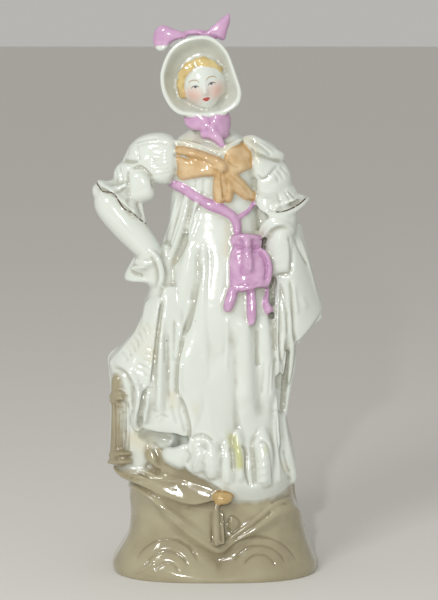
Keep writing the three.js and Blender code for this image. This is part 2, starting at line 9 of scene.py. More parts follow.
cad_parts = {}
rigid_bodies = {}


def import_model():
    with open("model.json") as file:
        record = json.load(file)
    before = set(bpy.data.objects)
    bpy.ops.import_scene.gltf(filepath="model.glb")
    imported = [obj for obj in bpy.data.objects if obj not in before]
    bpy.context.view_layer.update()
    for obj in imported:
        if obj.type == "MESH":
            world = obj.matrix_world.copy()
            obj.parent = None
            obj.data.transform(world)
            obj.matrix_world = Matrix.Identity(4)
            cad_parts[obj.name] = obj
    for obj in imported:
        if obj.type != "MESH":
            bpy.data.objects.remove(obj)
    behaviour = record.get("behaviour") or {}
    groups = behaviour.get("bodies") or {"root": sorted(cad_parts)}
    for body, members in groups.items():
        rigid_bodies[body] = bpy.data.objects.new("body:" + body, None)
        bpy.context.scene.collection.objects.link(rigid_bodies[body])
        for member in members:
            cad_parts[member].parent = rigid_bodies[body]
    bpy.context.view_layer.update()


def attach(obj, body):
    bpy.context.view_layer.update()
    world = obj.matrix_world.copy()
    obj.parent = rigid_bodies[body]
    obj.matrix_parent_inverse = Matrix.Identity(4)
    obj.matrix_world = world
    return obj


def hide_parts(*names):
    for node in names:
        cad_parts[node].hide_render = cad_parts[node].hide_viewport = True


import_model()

# Glazed porcelain lady in a poke bonnet. Sizes are in millimetres, +Z up, and the figure faces -Y.
mm = 0.001


# Camera, at the photograph's angle
shot = {
    "aim": (2.7, 0, 120.5),  # the point in the middle of the picture's height
    "distance": 850,
    "elevation": 8,  # degrees above level
    "focalShare": 1910 / 600,  # focal length over picture height
    "sensor": 36,
}


def makeCamera():
    bpy.ops.object.select_all(action="DESELECT")
    rise = math.radians(shot["elevation"])
    aim = Vector(shot["aim"]) * mm
    back = Vector((0, -math.cos(rise), math.sin(rise)))
    bpy.ops.object.camera_add(location=aim + back * shot["distance"] * mm)
    camera = bpy.context.object
    camera.rotation_euler = (math.pi / 2 - rise, 0, 0)
    camera.data.sensor_fit = "VERTICAL"
    camera.data.sensor_height = shot["sensor"]
    camera.data.lens = shot["sensor"] * shot["focalShare"]
    camera.data.clip_start = 0.01
    bpy.context.scene.camera = camera


makeCamera()
print("camera set")


# Curves and falloffs that every form uses
def soft(v):
    v = np.clip(v, 0, 1)
    return v * v * (3 - 2 * v)


def bell(distance, width):
    return np.exp(-((distance / width) ** 2))


def along(rows, u):
    # a smooth curve through rows of numbers; u is 0 at the first row and 1 at the last
    rows = np.asarray(rows, float)
    last = len(rows) - 1
    s = np.clip(np.atleast_1d(u), 0, 1) * last
    i = np.minimum(s.astype(int), last - 1)
    t = (s - i)[:, None]
    a, b, d, e = (rows[np.clip(i + k, 0, last)] for k in (-1, 0, 1, 2))
    bend = (2 * a - 5 * b + 4 * d - e) * t**2 + (3 * b - a - 3 * d + e) * t**3
    return 0.5 * (2 * b + (d - a) * t + bend)


def alongClosed(rows, u):
    # the same round a closed outline
    rows = np.asarray(rows, float)
    ring = np.vstack([rows[-1:], rows, rows[:2]])
    return along(ring, (1 + np.asarray(u) % 1 * len(rows)) / (len(rows) + 2))


def unit(v):
    return v / np.maximum(np.linalg.norm(v, axis=1, keepdims=True), 1e-9)


def strokeHeight(x, z, path, width, height):
    # height of one tapered stroke, cut or raised along a smooth path of (x, z) points
    line = along(path, np.linspace(0, 1, 5 * len(path)))
    nearest = np.full_like(x, 1e9)
    reach = np.zeros_like(x)
    for k in range(len(line) - 1):
        (ax, az), (bx, bz) = line[k], line[k + 1]
        run = max((bx - ax) ** 2 + (bz - az) ** 2, 1e-9)
        t = np.clip(((x - ax) * (bx - ax) + (z - az) * (bz - az)) / run, 0, 1)
        gap = np.hypot(x - ax - t * (bx - ax), z - az - t * (bz - az))
        closer = gap < nearest
        nearest = np.where(closer, gap, nearest)
        reach = np.where(closer, (k + t) / (len(line) - 1), reach)
    taper = soft(reach / 0.2 + 0.2) * soft((1 - reach) / 0.2 + 0.2)
    return height * taper * bell(nearest, width)


def carved(strokes, x, z):
    # height of several strokes, each worked out only where it reaches
    total = np.zeros_like(x)
    for path, width, height in strokes:
        low, high = np.min(path, axis=0) - 3 * width, np.max(path, axis=0) + 3 * width
        near = (x > low[0]) & (x < high[0]) & (z > low[1]) & (z < high[1])
        total[near] += strokeHeight(x[near], z[near], path, width, height)
    return total


# A form starts as a flat grid that is rolled into a closed skin, then moved into place
def startForm(around, rings):
    bpy.ops.object.select_all(action="DESELECT")
    share = 1
    bpy.ops.mesh.primitive_grid_add(
        x_subdivisions=max(int(around * share), 8), y_subdivisions=max(int(rings * share), 8), size=2
    )
    form = bpy.context.object
    turn, level, _ = (pointsOf(form.data, "co") * math.pi).T
    level = (level + math.pi) / 2
    girth = np.where(np.abs(np.sin(level)) < 1e-6, 0, np.sin(level))
    return form, np.column_stack([np.cos(turn) * girth, np.sin(turn) * girth, np.cos(level)])


def closeSeam(form):
    bpy.ops.object.mode_set(mode="EDIT")
    bpy.ops.mesh.select_all(action="SELECT")
    bpy.ops.mesh.remove_doubles(threshold=0.004 * mm)
    bpy.ops.mesh.normals_make_consistent(inside=False)
    bpy.ops.object.mode_set(mode="OBJECT")
    return form


def pointsOf(mesh, what):
    flat = np.empty(len(mesh.vertices) * 3)
    mesh.vertices.foreach_get(what, flat)
    return flat.reshape(-1, 3)


def placePoints(form, points):
    form.data.vertices.foreach_set("co", (points * mm).ravel())
    form.data.update()
    return form


def column(rows, around=120, rings=90, square=2.2, crowd=0.3, relief=None, lift=None):
    # standing form from rows of (z, left, right, front, back); square is 2 for an oval, more for a box
    form, ball = startForm(around, rings)
    level = np.arccos(np.clip(-ball[:, 2], -1, 1)) / math.pi
    girth = np.hypot(ball[:, 0], ball[:, 1])
    first = level[girth > 1e-4].min()
    z, left, right, front, back = along(rows, (level - first) / (1 - 2 * first)).T
    even = np.arctan2(ball[:, 1], ball[:, 0])
    turn = even - crowd * np.cos(even)
    reach = (girth > 1e-4).astype(float)
    c, s = np.cos(turn), np.sin(turn)
    x = (left + right) / 2 + (right - left) / 2 * np.sign(c) * np.abs(c) ** (2 / square) * reach
    y = (front + back) / 2 + (back - front) / 2 * np.sign(s) * np.abs(s) ** (2 / square) * reach
    out = relief(x, y, z, turn) * reach if relief else 0
    up = lift(x, y, z) if lift else z
    return closeSeam(placePoints(form, np.column_stack([x + c * out, y + s * out, up])))


def frontOf(rows, square, x, z):
    # the front face of such a form at points of the front view
    levels = np.linspace(0, 1, 400)
    table = along(rows, levels)
    u = np.interp(z, table[:, 0], levels)
    _, left, right, front, back = along(rows, u).T
    share = np.clip(np.abs(x - (left + right) / 2) / ((right - left) / 2), 0, 1)
    return (front + back) / 2 - (back - front) / 2 * (1 - share**square) ** (1 / square)


def limb(rows, around=36, rings=48, ends=0.16, facing=(0, -1, 0), relief=None):
    # round-ended limb or ribbon along rows of (x, y, z, half width, half depth); the depth lies along facing
    rows = [tuple(r) if len(r) == 5 else (*r, r[3]) for r in rows]
    form, ball = startForm(around, rings)
    t = np.arccos(np.clip(ball[:, 2], -1, 1)) / math.pi
    x, y, z, wide, deep = along(rows, t).T
    run = unit(along(rows, t + 0.03)[:, :3] - along(rows, t - 0.03)[:, :3])
    across = unit(np.cross(run, facing))
    through = np.cross(run, across)
    girth = np.hypot(ball[:, 0], ball[:, 1])
    toEnd = np.clip(np.minimum(t, 1 - t) / ends, 0, 1)
    swell = np.where(girth < 1e-6, 0, np.sqrt(1 - (1 - toEnd) ** 2) / np.maximum(girth, 1e-9))
    side, face = ball[:, 0] * swell, ball[:, 1] * swell
    if relief:
        grow = 1 + relief(t, np.arctan2(ball[:, 1], ball[:, 0]))
        side, face = side * grow, face * grow
    middle = np.column_stack([x, y, z])
    skin = middle + across * (side * wide)[:, None] + through * (face * deep)[:, None]
    return closeSeam(placePoints(form, skin))


def ball(centre, radii, turn=(0, 0, 0), around=64, rings=48, relief=None):
    # an ellipsoid with its own turn in degrees; relief changes its radius by a share
    form, points = startForm(around, rings)
    grow = 1 + relief(*points.T) if relief else np.ones(len(points))
    spin = np.array(Euler([math.radians(a) for a in turn]).to_matrix())
    shaped = points * np.array(radii) * grow[:, None]
    return closeSeam(placePoints(form, shaped @ spin.T + np.array(centre)))


def throughPane(rows):
    # Rows of (across, depth, up, ...) drawn on an upright pane through the figure's middle, y = 0,
    # moved to where the camera sees them at their own depth
    rows = np.array(rows, float)
    eye = np.array(bpy.context.scene.camera.location) / mm
    share = 1 - rows[:, 1] / eye[1]
    rows[:, 0] = eye[0] + (rows[:, 0] - eye[0]) * share
    rows[:, 2] = eye[2] + (rows[:, 2] - eye[2]) * share
    return rows


def laidOn(base, rows):
    # rows of (across, up, ...) drawn on the same pane and laid on the front of a standing form
    rows = np.array(rows, float)
    drawn = np.column_stack([rows[:, 0], np.zeros(len(rows)), rows[:, 1:]])
    for _ in range(3):
        place = throughPane(drawn)
        drawn[:, 1] = frontOf(base["rows"], base["square"], place[:, 0], place[:, 2])
    return throughPane(drawn)


def pad(outline, bulge, back, around=140, rings=60, edge=0.62):
    # a soft flat form inside a closed outline of (x, y, z), bulging most at its middle
    form, ball = startForm(around, rings)
    rim = alongClosed(outline, np.arctan2(ball[:, 1], ball[:, 0]) / (2 * math.pi))
    middle = np.mean(outline, axis=0)
    share = np.hypot(ball[:, 0], ball[:, 1]) ** edge
    skin = middle + (rim - middle) * share[:, None]
    skin[:, 1] -= np.where(ball[:, 2] > 0, bulge, back) * ball[:, 2]
    return closeSeam(placePoints(form, skin))


def turnedShell(rows, start, toward, around=96, swell=None):
    # a turned shell from rows of (distance along the axis, radius), extruded ring by ring
    bpy.ops.object.select_all(action="DESELECT")
    count = around
    profile = along(rows, np.linspace(0, 1, 6 * len(rows)))
    bpy.ops.mesh.primitive_circle_add(vertices=count, radius=1, fill_type="NOTHING")
    form = bpy.context.object
    bpy.ops.object.mode_set(mode="EDIT")
    for k in range(1, len(profile)):
        bpy.ops.mesh.extrude_region_move(TRANSFORM_OT_translate={"value": (0, 0, 1)})
    bpy.ops.object.mode_set(mode="OBJECT")
    points = pointsOf(form.data, "co")
    ring = np.rint(points[:, 2]).astype(int)
    reach, radius = profile[ring].T
    angle = np.arctan2(points[:, 1], points[:, 0])
    wide = np.maximum(radius, 1e-4) * (swell(angle, reach) if swell else 1)
    local = np.column_stack([np.cos(angle) * wide, np.sin(angle) * wide, reach])
    spin = np.array(Vector((0, 0, 1)).rotation_difference(Vector(toward)).to_matrix())
    return closeSeam(placePoints(form, local @ spin.T + np.array(start)))


# Rockwork base: a flared foot, a waisted body and a V-shaped swag over its front
rock = {
    "rows": [
        (0, -44.8, 46.6, -32.5, 27.5),
        (3, -45.2, 46.8, -33, 28),
        (7, -42.6, 45, -31.4, 26.8),
        (13, -38.6, 43, -29, 26),
        (20, -37.2, 41.2, -27.6, 25.8),
        (28, -37.6, 39.2, -26.8, 25.6),
        (36, -38.8, 37.4, -26.3, 25.4),
        (44, -40, 36.8, -25, 25),
    ],
    "square": 2.8,
    "top": 38.5,
    "shoulder": 50,
    "tip": (2.5, 14),
    "rise": 0.76,
    "edgeRing": 26.4,
    "ribs": [
        [(1.4, -29, 27, 1.2), (1.4, -29.6, 20, 1.6), (1.5, -30.2, 12, 1.6), (1.8, -30.4, 7.6, 1.2)],
        [(4.3, -29, 24, 0.5), (4.3, -30, 17, 0.7), (4.5, -30.4, 10.6, 0.8), (4.2, -30.6, 8.4, 0.5)],
    ],
    "leftLedge": [
        (-42, -14, 43, 1),
        (-36, -19, 41.4, 1.2),
        (-29, -21.4, 39, 1.3),
        (-20, -23, 37.2, 1.2),
        (-12, -24, 36.6, 0.9),
    ],
    "shoulderRib": [
        (-30, -17.4, 56, 1.4),
        (-28.6, -19, 51, 2),
        (-27, -20.4, 46.5, 1.8),
        (-25, -21, 43, 1),
    ],
    "front": [
        (-45, -12, 45),
        (-38, -15, 49),
        (-31, -17, 53),
        (-26, -18.6, 55),
        (-22, -20, 51),
        (-18, -21.6, 46.6),
        (-12, -23, 45),
        (-5, -24, 41),
        (2, -25.4, 37),
        (6, -26, 33),
        (0, -27, 29),
        (-10, -26.4, 27),
        (-22, -25, 31),
        (-34, -22, 36.4),
        (-42, -17, 40),
    ],
}


def rockLift(x, y, z):
    height = rock["rows"][-1][0]
    ring = rock["edgeRing"]
    edge = np.minimum(rock["tip"][1] + rock["rise"] * np.abs(x - rock["tip"][0]), 34)
    bent = np.where(z < ring, z * edge / ring, edge + (height - edge) * (z - ring) / (height - ring))
    top = rock["top"] + (rock["shoulder"] - rock["top"]) * soft((-6 - x) / 32)
    level = z + (bent - z) * soft((-4 - y) / 14)
    return level / height * np.where(y < 6, top, top + 2)


def rockRelief(x, y, z, turn):
    ring = rock["edgeRing"]
    edge = 1.5 * bell(z - ring, 3) - 1.5 * bell(z - ring + 8, 5.5)
    front = edge * soft((-4 - y) / 14) - 1.2 * soft((z - ring) / 14)
    return np.where(y > 0, 0.8 * np.sin(x / 6) * bell(z - 24, 10), front)


def makeRock():
    body = column(
        rock["rows"], around=240, rings=110, square=rock["square"], relief=rockRelief, lift=rockLift
    )
    rows = [*rock["ribs"], rock["leftLedge"], rock["shoulderRib"]]
    front = pad(throughPane(rock["front"]), 1, 8, around=200)
    return [body, front, *[limb(throughPane(each)) for each in rows]]


# High-waisted dress with its long folds; the hem opens over the rock
dress = {
    "rows": [
        (30, -10, 33.5, -21, 17),
        (41, -11, 35.2, -27.6, 20.5),
        (46, -12.5, 36.8, -28, 21.4),
        (53, -15.5, 36.2, -26.5, 21.4),
        (62, -18.5, 33.6, -24.5, 21),
        (72, -21, 32.2, -23.5, 20.5),
        (84, -24, 33, -23, 20),
        (96, -26, 34.6, -22.3, 19.5),
        (108, -26, 33, -21.4, 18.5),
        (120, -24.5, 29, -20, 17),
        (132, -22.5, 26, -18, 15.5),
        (143, -20.6, 23.5, -16, 14),
        (153, -19.7, 21.2, -13.8, 12.5),
        (162, -18.8, 19.6, -12, 11.5),
        (170, -18.4, 19, -11.2, 11),
        (177, -18.2, 19, -11.5, 10.8),
    ],
    "square": 2.3,
    "backPipes": 5,
    "strokes": [
        ([(-8, 166), (-11.5, 155), (-14, 147), (-17, 138)], 2.6, -1.7),
        ([(-4, 146), (-5.5, 134), (-7.5, 124), (-11, 111), (-15, 99)], 3, -1.8),
        ([(-10, 148), (-12, 136), (-15, 122), (-18, 108)], 3, 1.2),
        ([(8.5, 112), (8.6, 90), (9, 74), (10, 62)], 2.8, -1.2),
        ([(19, 118), (19.3, 104), (20.5, 88), (21, 70)], 2.6, -1.4),
        ([(26, 122), (27.5, 108), (29.5, 92), (30.5, 80)], 2.4, -1.7),
        ([(14, 116), (14.5, 98), (15, 78)], 3.4, 0.9),
        ([(23.5, 116), (24.5, 98), (25.8, 78)], 2.6, 1),
        ([(19, 64), (18, 52), (18, 42)], 2.2, -1.2),
        ([(6.5, 66), (6.5, 54), (7, 44)], 2.2, -1.2),
    ],
    "knee": [
        (-4, -14.5, 146),
        (-6.6, -16.5, 131),
        (-8.8, -18, 118),
        (-12, -20, 105),
        (-15.2, -21.5, 96),
        (-16.4, -22.3, 86),
        (-16.2, -22.8, 78.5),
        (-13.5, -23.6, 73),
        (-11.8, -24.2, 67),
        (-10.8, -24.8, 60),
        (-11.4, -25, 52),
        (-12.8, -24.6, 46),
        (-9.6, -25.4, 41.6),
        (-3, -26.2, 38.6),
        (3, -27, 35),
        (8.6, -26, 35),
        (10.4, -24.6, 45),
        (10.4, -23, 57),
        (10, -22, 70),
        (10, -21, 85),
        (10, -19.4, 100),
        (9, -17, 115),
        (5, -15, 130),
        (0, -13.4, 142),
    ],
    "kneeSwell": 2.6,
    "pleats": [
        [(-8.6, -23, 58, 1), (-6, -25.6, 52, 3), (-6.6, -26, 46, 3), (-8, -25.4, 42, 2)],
        [(0, -24, 57, 1.6), (-0.6, -26.4, 51, 3.6), (-0.6, -27, 44, 3.6), (0, -26.6, 39, 2.4)],
        [(5.6, -24, 60, 1), (6, -26, 50, 2.4), (6.4, -27, 42, 2.6), (6.6, -26.8, 36.4, 2)],
        [(10.8, -23, 62, 1), (11.6, -25, 54, 2.4), (12, -26.2, 45, 2.8), (12.6, -26.2, 36.4, 2.8)],
        [(22, -19, 64, 1.6), (22.4, -22.2, 54.5, 4), (22.8, -23.6, 45, 4.6), (22.9, -23.6, 35, 4.3)],
        [(28.2, -15.6, 78, 0.6), (28.6, -17.6, 62, 1.3), (29, -19.6, 49, 1.7), (29.4, -20.4, 35.4, 1.9)],
        [
            (31.4, -10, 70, 1),
            (31.8, -11.6, 60, 2),
            (33.2, -13, 51, 2.6),
            (35, -13, 42, 2.8),
            (35.8, -12.4, 36.6, 2),
        ],
        [
            (36, -3, 102, 1.4),
            (35.2, -5, 92, 2),
            (33.8, -7, 82, 1.5),
            (32.9, -8.4, 74, 1.1),
            (32.2, -9.4, 64, 0.7),
        ],
        [(17.6, -20, 50, 0.8), (17, -21.8, 42, 1.7), (16.6, -22.4, 35, 1.6)],
    ],
    "waistRolls": [
        [(-16, 166, 0.8), (-17.6, 157, 1.3), (-20, 149.5, 1.3), (-22, 145, 0.8)],
        [(-11.4, 168, 1.2), (-13, 159, 1.9), (-15.4, 150, 2.1), (-18, 142, 1.6), (-19.4, 136, 0.8)],
        [(-6.8, 166, 1), (-8, 158, 1.5), (-10, 151, 1.3), (-11, 147, 0.7)],
    ],
}


def dressRelief(x, y, z, turn):
    front = carved(dress["strokes"], x, z)
    fall = soft((176 - z) / 90) * soft((z - 34) / 14)
    pipes = fall * (1 + 1.7 * np.cos(turn * 2 * dress["backPipes"]))
    side = soft((y + 1) / 5)
    return front * (1 - side) + pipes * side


def dressLift(x, y, z):
    # the hem rises at the left, where it trails over the rock
    return z + 6.5 * soft((3 - x) / 14) * soft((58 - z) / 16) * soft((2 - y) / 12)


def makeDress():
    body = column(
        dress["rows"],
        around=320,
        rings=260,
        square=dress["square"],
        relief=dressRelief,
        lift=dressLift,
    )
    knee = pad(throughPane(dress["knee"]), dress["kneeSwell"], 4, around=300, rings=140)
    pleats = [limb(throughPane(rows)) for rows in dress["pleats"]]
    rolls = [limb(laidOn(dress, rows)) for rows in dress["waistRolls"]]
    return [body, knee, *pleats, *rolls]


# The skirt's train, gathered up by the right hand and laid over a fluted post
train = {
    "rows": [
        (42, -41, -16, -19, 17),
        (51, -45.8, -14, -19, 18),
        (58, -46, -12, -19.5, 18),
        (66, -45.4, -11, -20.5, 17.5),
        (74, -45, -10.5, -21.6, 17),
        (82, -45, -10.5, -21.6, 16),
        (89, -45.8, -11, -20.8, 15),
        (95, -46, -12, -19.8, 14),
        (101, -40.6, -12.5, -18.6, 13),
        (108, -34.6, -13, -17, 12),
        (116, -31.2, -13.5, -16.5, 11),
        (124, -29, -14, -15.5, 10),
        (131, -27.6, -14, -14, 9),
        (138, -25.6, -15, -11.5, 8),
        (146, -22.6, -15.5, -8.5, 7),
    ],
    "square": 2.6,
    "hollow": ((-23, -23.4, 61.6), (12.4, 7, 4.2), (0, 8, 0)),
    "panel": [
        (-22, -16.5, 125),
        (-23.6, -18, 112),
        (-25.4, -19.6, 98),
        (-27, -21, 86),
        (-29.6, -22, 78),
        (-31, -22, 70),
        (-31.6, -21.4, 63),
        (-27, -22, 61),
        (-22, -22.6, 60.2),
        (-17, -22.8, 59.8),
        (-12.2, -22.6, 58.4),
        (-10.8, -22.6, 62),
        (-12.2, -22.4, 69),
        (-15.4, -22, 77),
        (-16, -21, 86),
        (-14.6, -20, 97),
        (-13.6, -18.4, 110),
        (-16, -16, 125),
    ],
    "panelRib": [
        (-21.6, -15.4, 124, 0.8),
        (-22.4, -18.2, 112, 1.4),
        (-23, -20.8, 98, 1.8),
        (-23.2, -22, 84, 2),
        (-23.6, -22.6, 72, 1.8),
        (-24, -22.4, 63, 1.2),
    ],
    "drape": [
        (-23.6, -17.4, 121),
        (-29.6, -12, 120),
        (-31.4, -12, 114.4),
        (-33.4, -12.4, 109.8),
        (-36, -12.6, 104.8),
        (-40, -12.4, 100),
        (-43.4, -11.6, 96),
        (-46.4, -11, 92.4),
        (-45, -13.4, 90),
        (-41, -17.4, 88.6),
        (-38, -20, 85.8),
        (-36.4, -21.6, 81),
        (-33.6, -22.8, 77.6),
        (-30.4, -23.6, 78.8),
        (-27.6, -23.6, 81.2),
        (-26.6, -23, 88),
        (-25.6, -21.6, 98),
        (-24.4, -19.6, 110),
    ],
    "drapeSwell": 2.2,
    "tail": [
        (-33.4, -22, 83, 2.8, 3),
        (-33.2, -23.2, 76, 2.1, 3),
        (-33.9, -23.2, 70.4, 1.9, 3),
        (-35.4, -22.6, 66, 1.5, 2.6),
        (-34.8, -22.2, 62.8, 1.4, 2.4),
        (-32.4, -22, 61, 0.9, 2),
    ],
    "innerFold": [
        (-29, -22.6, 79, 0.9),
        (-29, -23, 74.6, 1),
        (-30, -23, 69.6, 1),
        (-30.6, -22.4, 64.6, 0.8),
    ],
    "hemLobe": [
        (-22.8, -20.4, 51),
        (-21.6, -21.4, 47.6),
        (-18, -22.6, 45.2),
        (-13.8, -23.6, 44.2),
        (-12.2, -24, 48),
        (-11, -24, 53),
        (-12.6, -23.6, 55.4),
        (-17, -22.4, 53.6),
        (-21, -21, 53.4),
    ],
    "post": [
        (-41.6, -14.6, 88, 4.2),
        (-41.6, -15, 76, 3.9),
        (-41.8, -15, 62, 4),
        (-42, -15, 50, 4.4),
        (-42, -15, 45, 4),
    ],
    "capital": [
        [(-45.6, -14, 77.4, 0.9, 2), (-41.8, -19, 78.4, 0.9, 2), (-38, -17.4, 77.4, 0.9, 2)],
        [(-45.4, -14, 75.4, 0.6, 2), (-41.8, -19, 76, 0.6, 2), (-38.2, -17.4, 75.2, 0.6, 2)],
        [(-46, -14, 50.4, 0.9, 2), (-41.6, -19.6, 50.8, 0.9, 2), (-37.4, -18, 51, 0.9, 2)],
        [(-46.4, -14, 47.2, 1, 2.2), (-41.6, -20, 47, 1, 2.2), (-37, -18.4, 47.4, 1, 2.2)],
    ],
    "scrolls": [(-40.8, -18.6, 72.8), (-38.6, -18.4, 73.4), (-40, -18.6, 70.6), (-42.8, -18, 73)],
}


def applyModifier(form, kind, **settings):
    bpy.ops.object.select_all(action="DESELECT")
    form.select_set(True)
    bpy.context.view_layer.objects.active = form
    modifier = form.modifiers.new(kind.lower(), kind)
    for key, value in settings.items():
        setattr(modifier, key, value)
    bpy.ops.object.modifier_apply(modifier=modifier.name)


def trainRelief(x, y, z, turn):
    return np.where(y < 0, 0, 1.2 * np.sin(x / 2.6) * bell(z - 90, 40))


def makeTrain():
    cloth = column(
        train["rows"], around=220, rings=200, square=train["square"], relief=trainRelief
    )
    centre, radii, turn = train["hollow"]
    hollow = ball(centre, radii, turn)
    applyModifier(cloth, "BOOLEAN", operation="DIFFERENCE", object=hollow)
    bpy.data.objects.remove(hollow)
    forms = [
        cloth,
        pad(throughPane(train["panel"]), 1.8, 5, around=240, rings=120),
        pad(throughPane(train["drape"]), train["drapeSwell"], 5, around=240, rings=120),
        pad(throughPane(train["hemLobe"]), 2.6, 4),
    ]
    return forms + [limb(throughPane(train[name])) for name in ("panelRib", "tail", "innerFold")]


def makePost():
    forms = [limb(throughPane(train["post"]))]
    forms += [limb(throughPane(rows), ends=0.05) for rows in train["capital"]]
    forms += [ball(*throughPane([spot]), (0.9, 1.4, 0.9), around=16, rings=12) for spot in train["scrolls"]]
    return forms


# Bodice, chest and neck
bodice = {
    "rows": [
        (163, -18.5, 19, -11.4, 11),
        (170, -18.4, 19, -11.8, 11.4),
        (176, -18.6, 19.4, -13, 11.4),
        (182, -19, 19.4, -13.6, 11),
        (188, -18.5, 18.6, -11.8, 10),
        (192, -16, 14.5, -8.5, 9),
        (195.5, -11, 8.5, -5.6, 8),
        (197.5, -7.2, 3.6, -4, 6.6),
    ],
    "square": 2.3,
    "neck": [
        (-2.2, 2, 187, 8.4, 7),
        (-2.3, 1.6, 196, 7.6, 6.4),
        (-2.6, 1, 204, 7, 6),
        (-3.2, 0, 210, 6, 5.4),
    ],
    "neckline": [
        (-18, -6.6, 190.6, 1),
        (-12, -9.4, 190.4, 1.1),
        (-6, -11, 188.8, 1.1),
        (0, -12, 186.8, 1),
        (4, -12.4, 186.2, 0.8),
        (8, -11.6, 189.6, 0.9),
        (13, -9.4, 192, 0.9),
    ],
}


def makeBodice():
    return [
        column(bodice["rows"], square=bodice["square"]),
        limb(bodice["neck"]),
        limb(throughPane(bodice["neckline"]), rings=90, ends=0.08),
    ]


# The gold sash knotted over the bust
sash = {
    "swathe": [
        (-18.6, 188.2),
        (-13.5, 187.8),
        (-8.5, 187.2),
        (-4, 186),
        (0, 184.6),
        (3.6, 183.4),
        (5, 180.4),
        (3.6, 177.6),
        (1, 176),
        (-4, 175.8),
        (-9, 174.8),
        (-14, 174.2),
        (-15.5, 176.4),
        (-15, 180),
        (-16.2, 184),
    ],
    "lobe": [
        (5.4, 183),
        (6.2, 186.6),
        (9, 189.4),
        (12.8, 190.8),
        (16.4, 189.6),
        (18.6, 186.4),
        (18.6, 182.6),
        (16.6, 179.4),
        (13, 177.6),
        (9, 176.8),
        (6.4, 178.4),
    ],
    "swell": 3.4,
    "topRoll": [(-18, 187.2, 1.2), (-12, 186.8, 1.3), (-6, 185.4, 1.2), (0, 183.4, 1.1), (3, 182, 0.9)],
    "knot": [(2.4, 181.8, 1.8), (3.8, 180, 2.3), (4.2, 177.8, 1.6)],
    "tails": [
        [(3.6, 178.4, 1.7), (2.9, 173, 2.3), (2.9, 168, 2.4), (3.4, 164.2, 2.1)],
        [(5.2, 177, 1.1), (6.6, 172, 1.4), (7.2, 167.5, 1.5), (6.6, 164.2, 1.3)],
        [(5.6, 177.6, 1.5), (9, 175, 1.9), (12.8, 171.4, 2.1), (16, 167.8, 1.9), (17.8, 165.4, 1.2)],
        [(6.8, 173.8, 0.9), (9.6, 170.8, 1.1), (12.6, 168, 1.2), (15.6, 165.8, 1)],
    ],
}


def makeSash():
    forms = [pad(laidOn(bodice, sash[name]), sash["swell"], 2) for name in ("swathe", "lobe")]
    for rows in (sash["topRoll"], sash["knot"], *sash["tails"]):
        rolls = laidOn(bodice, rows)
        rolls[:, 1] -= 1.6 if rows in (sash["topRoll"], sash["knot"]) else 0.6
        forms.append(limb(rolls))
    return forms


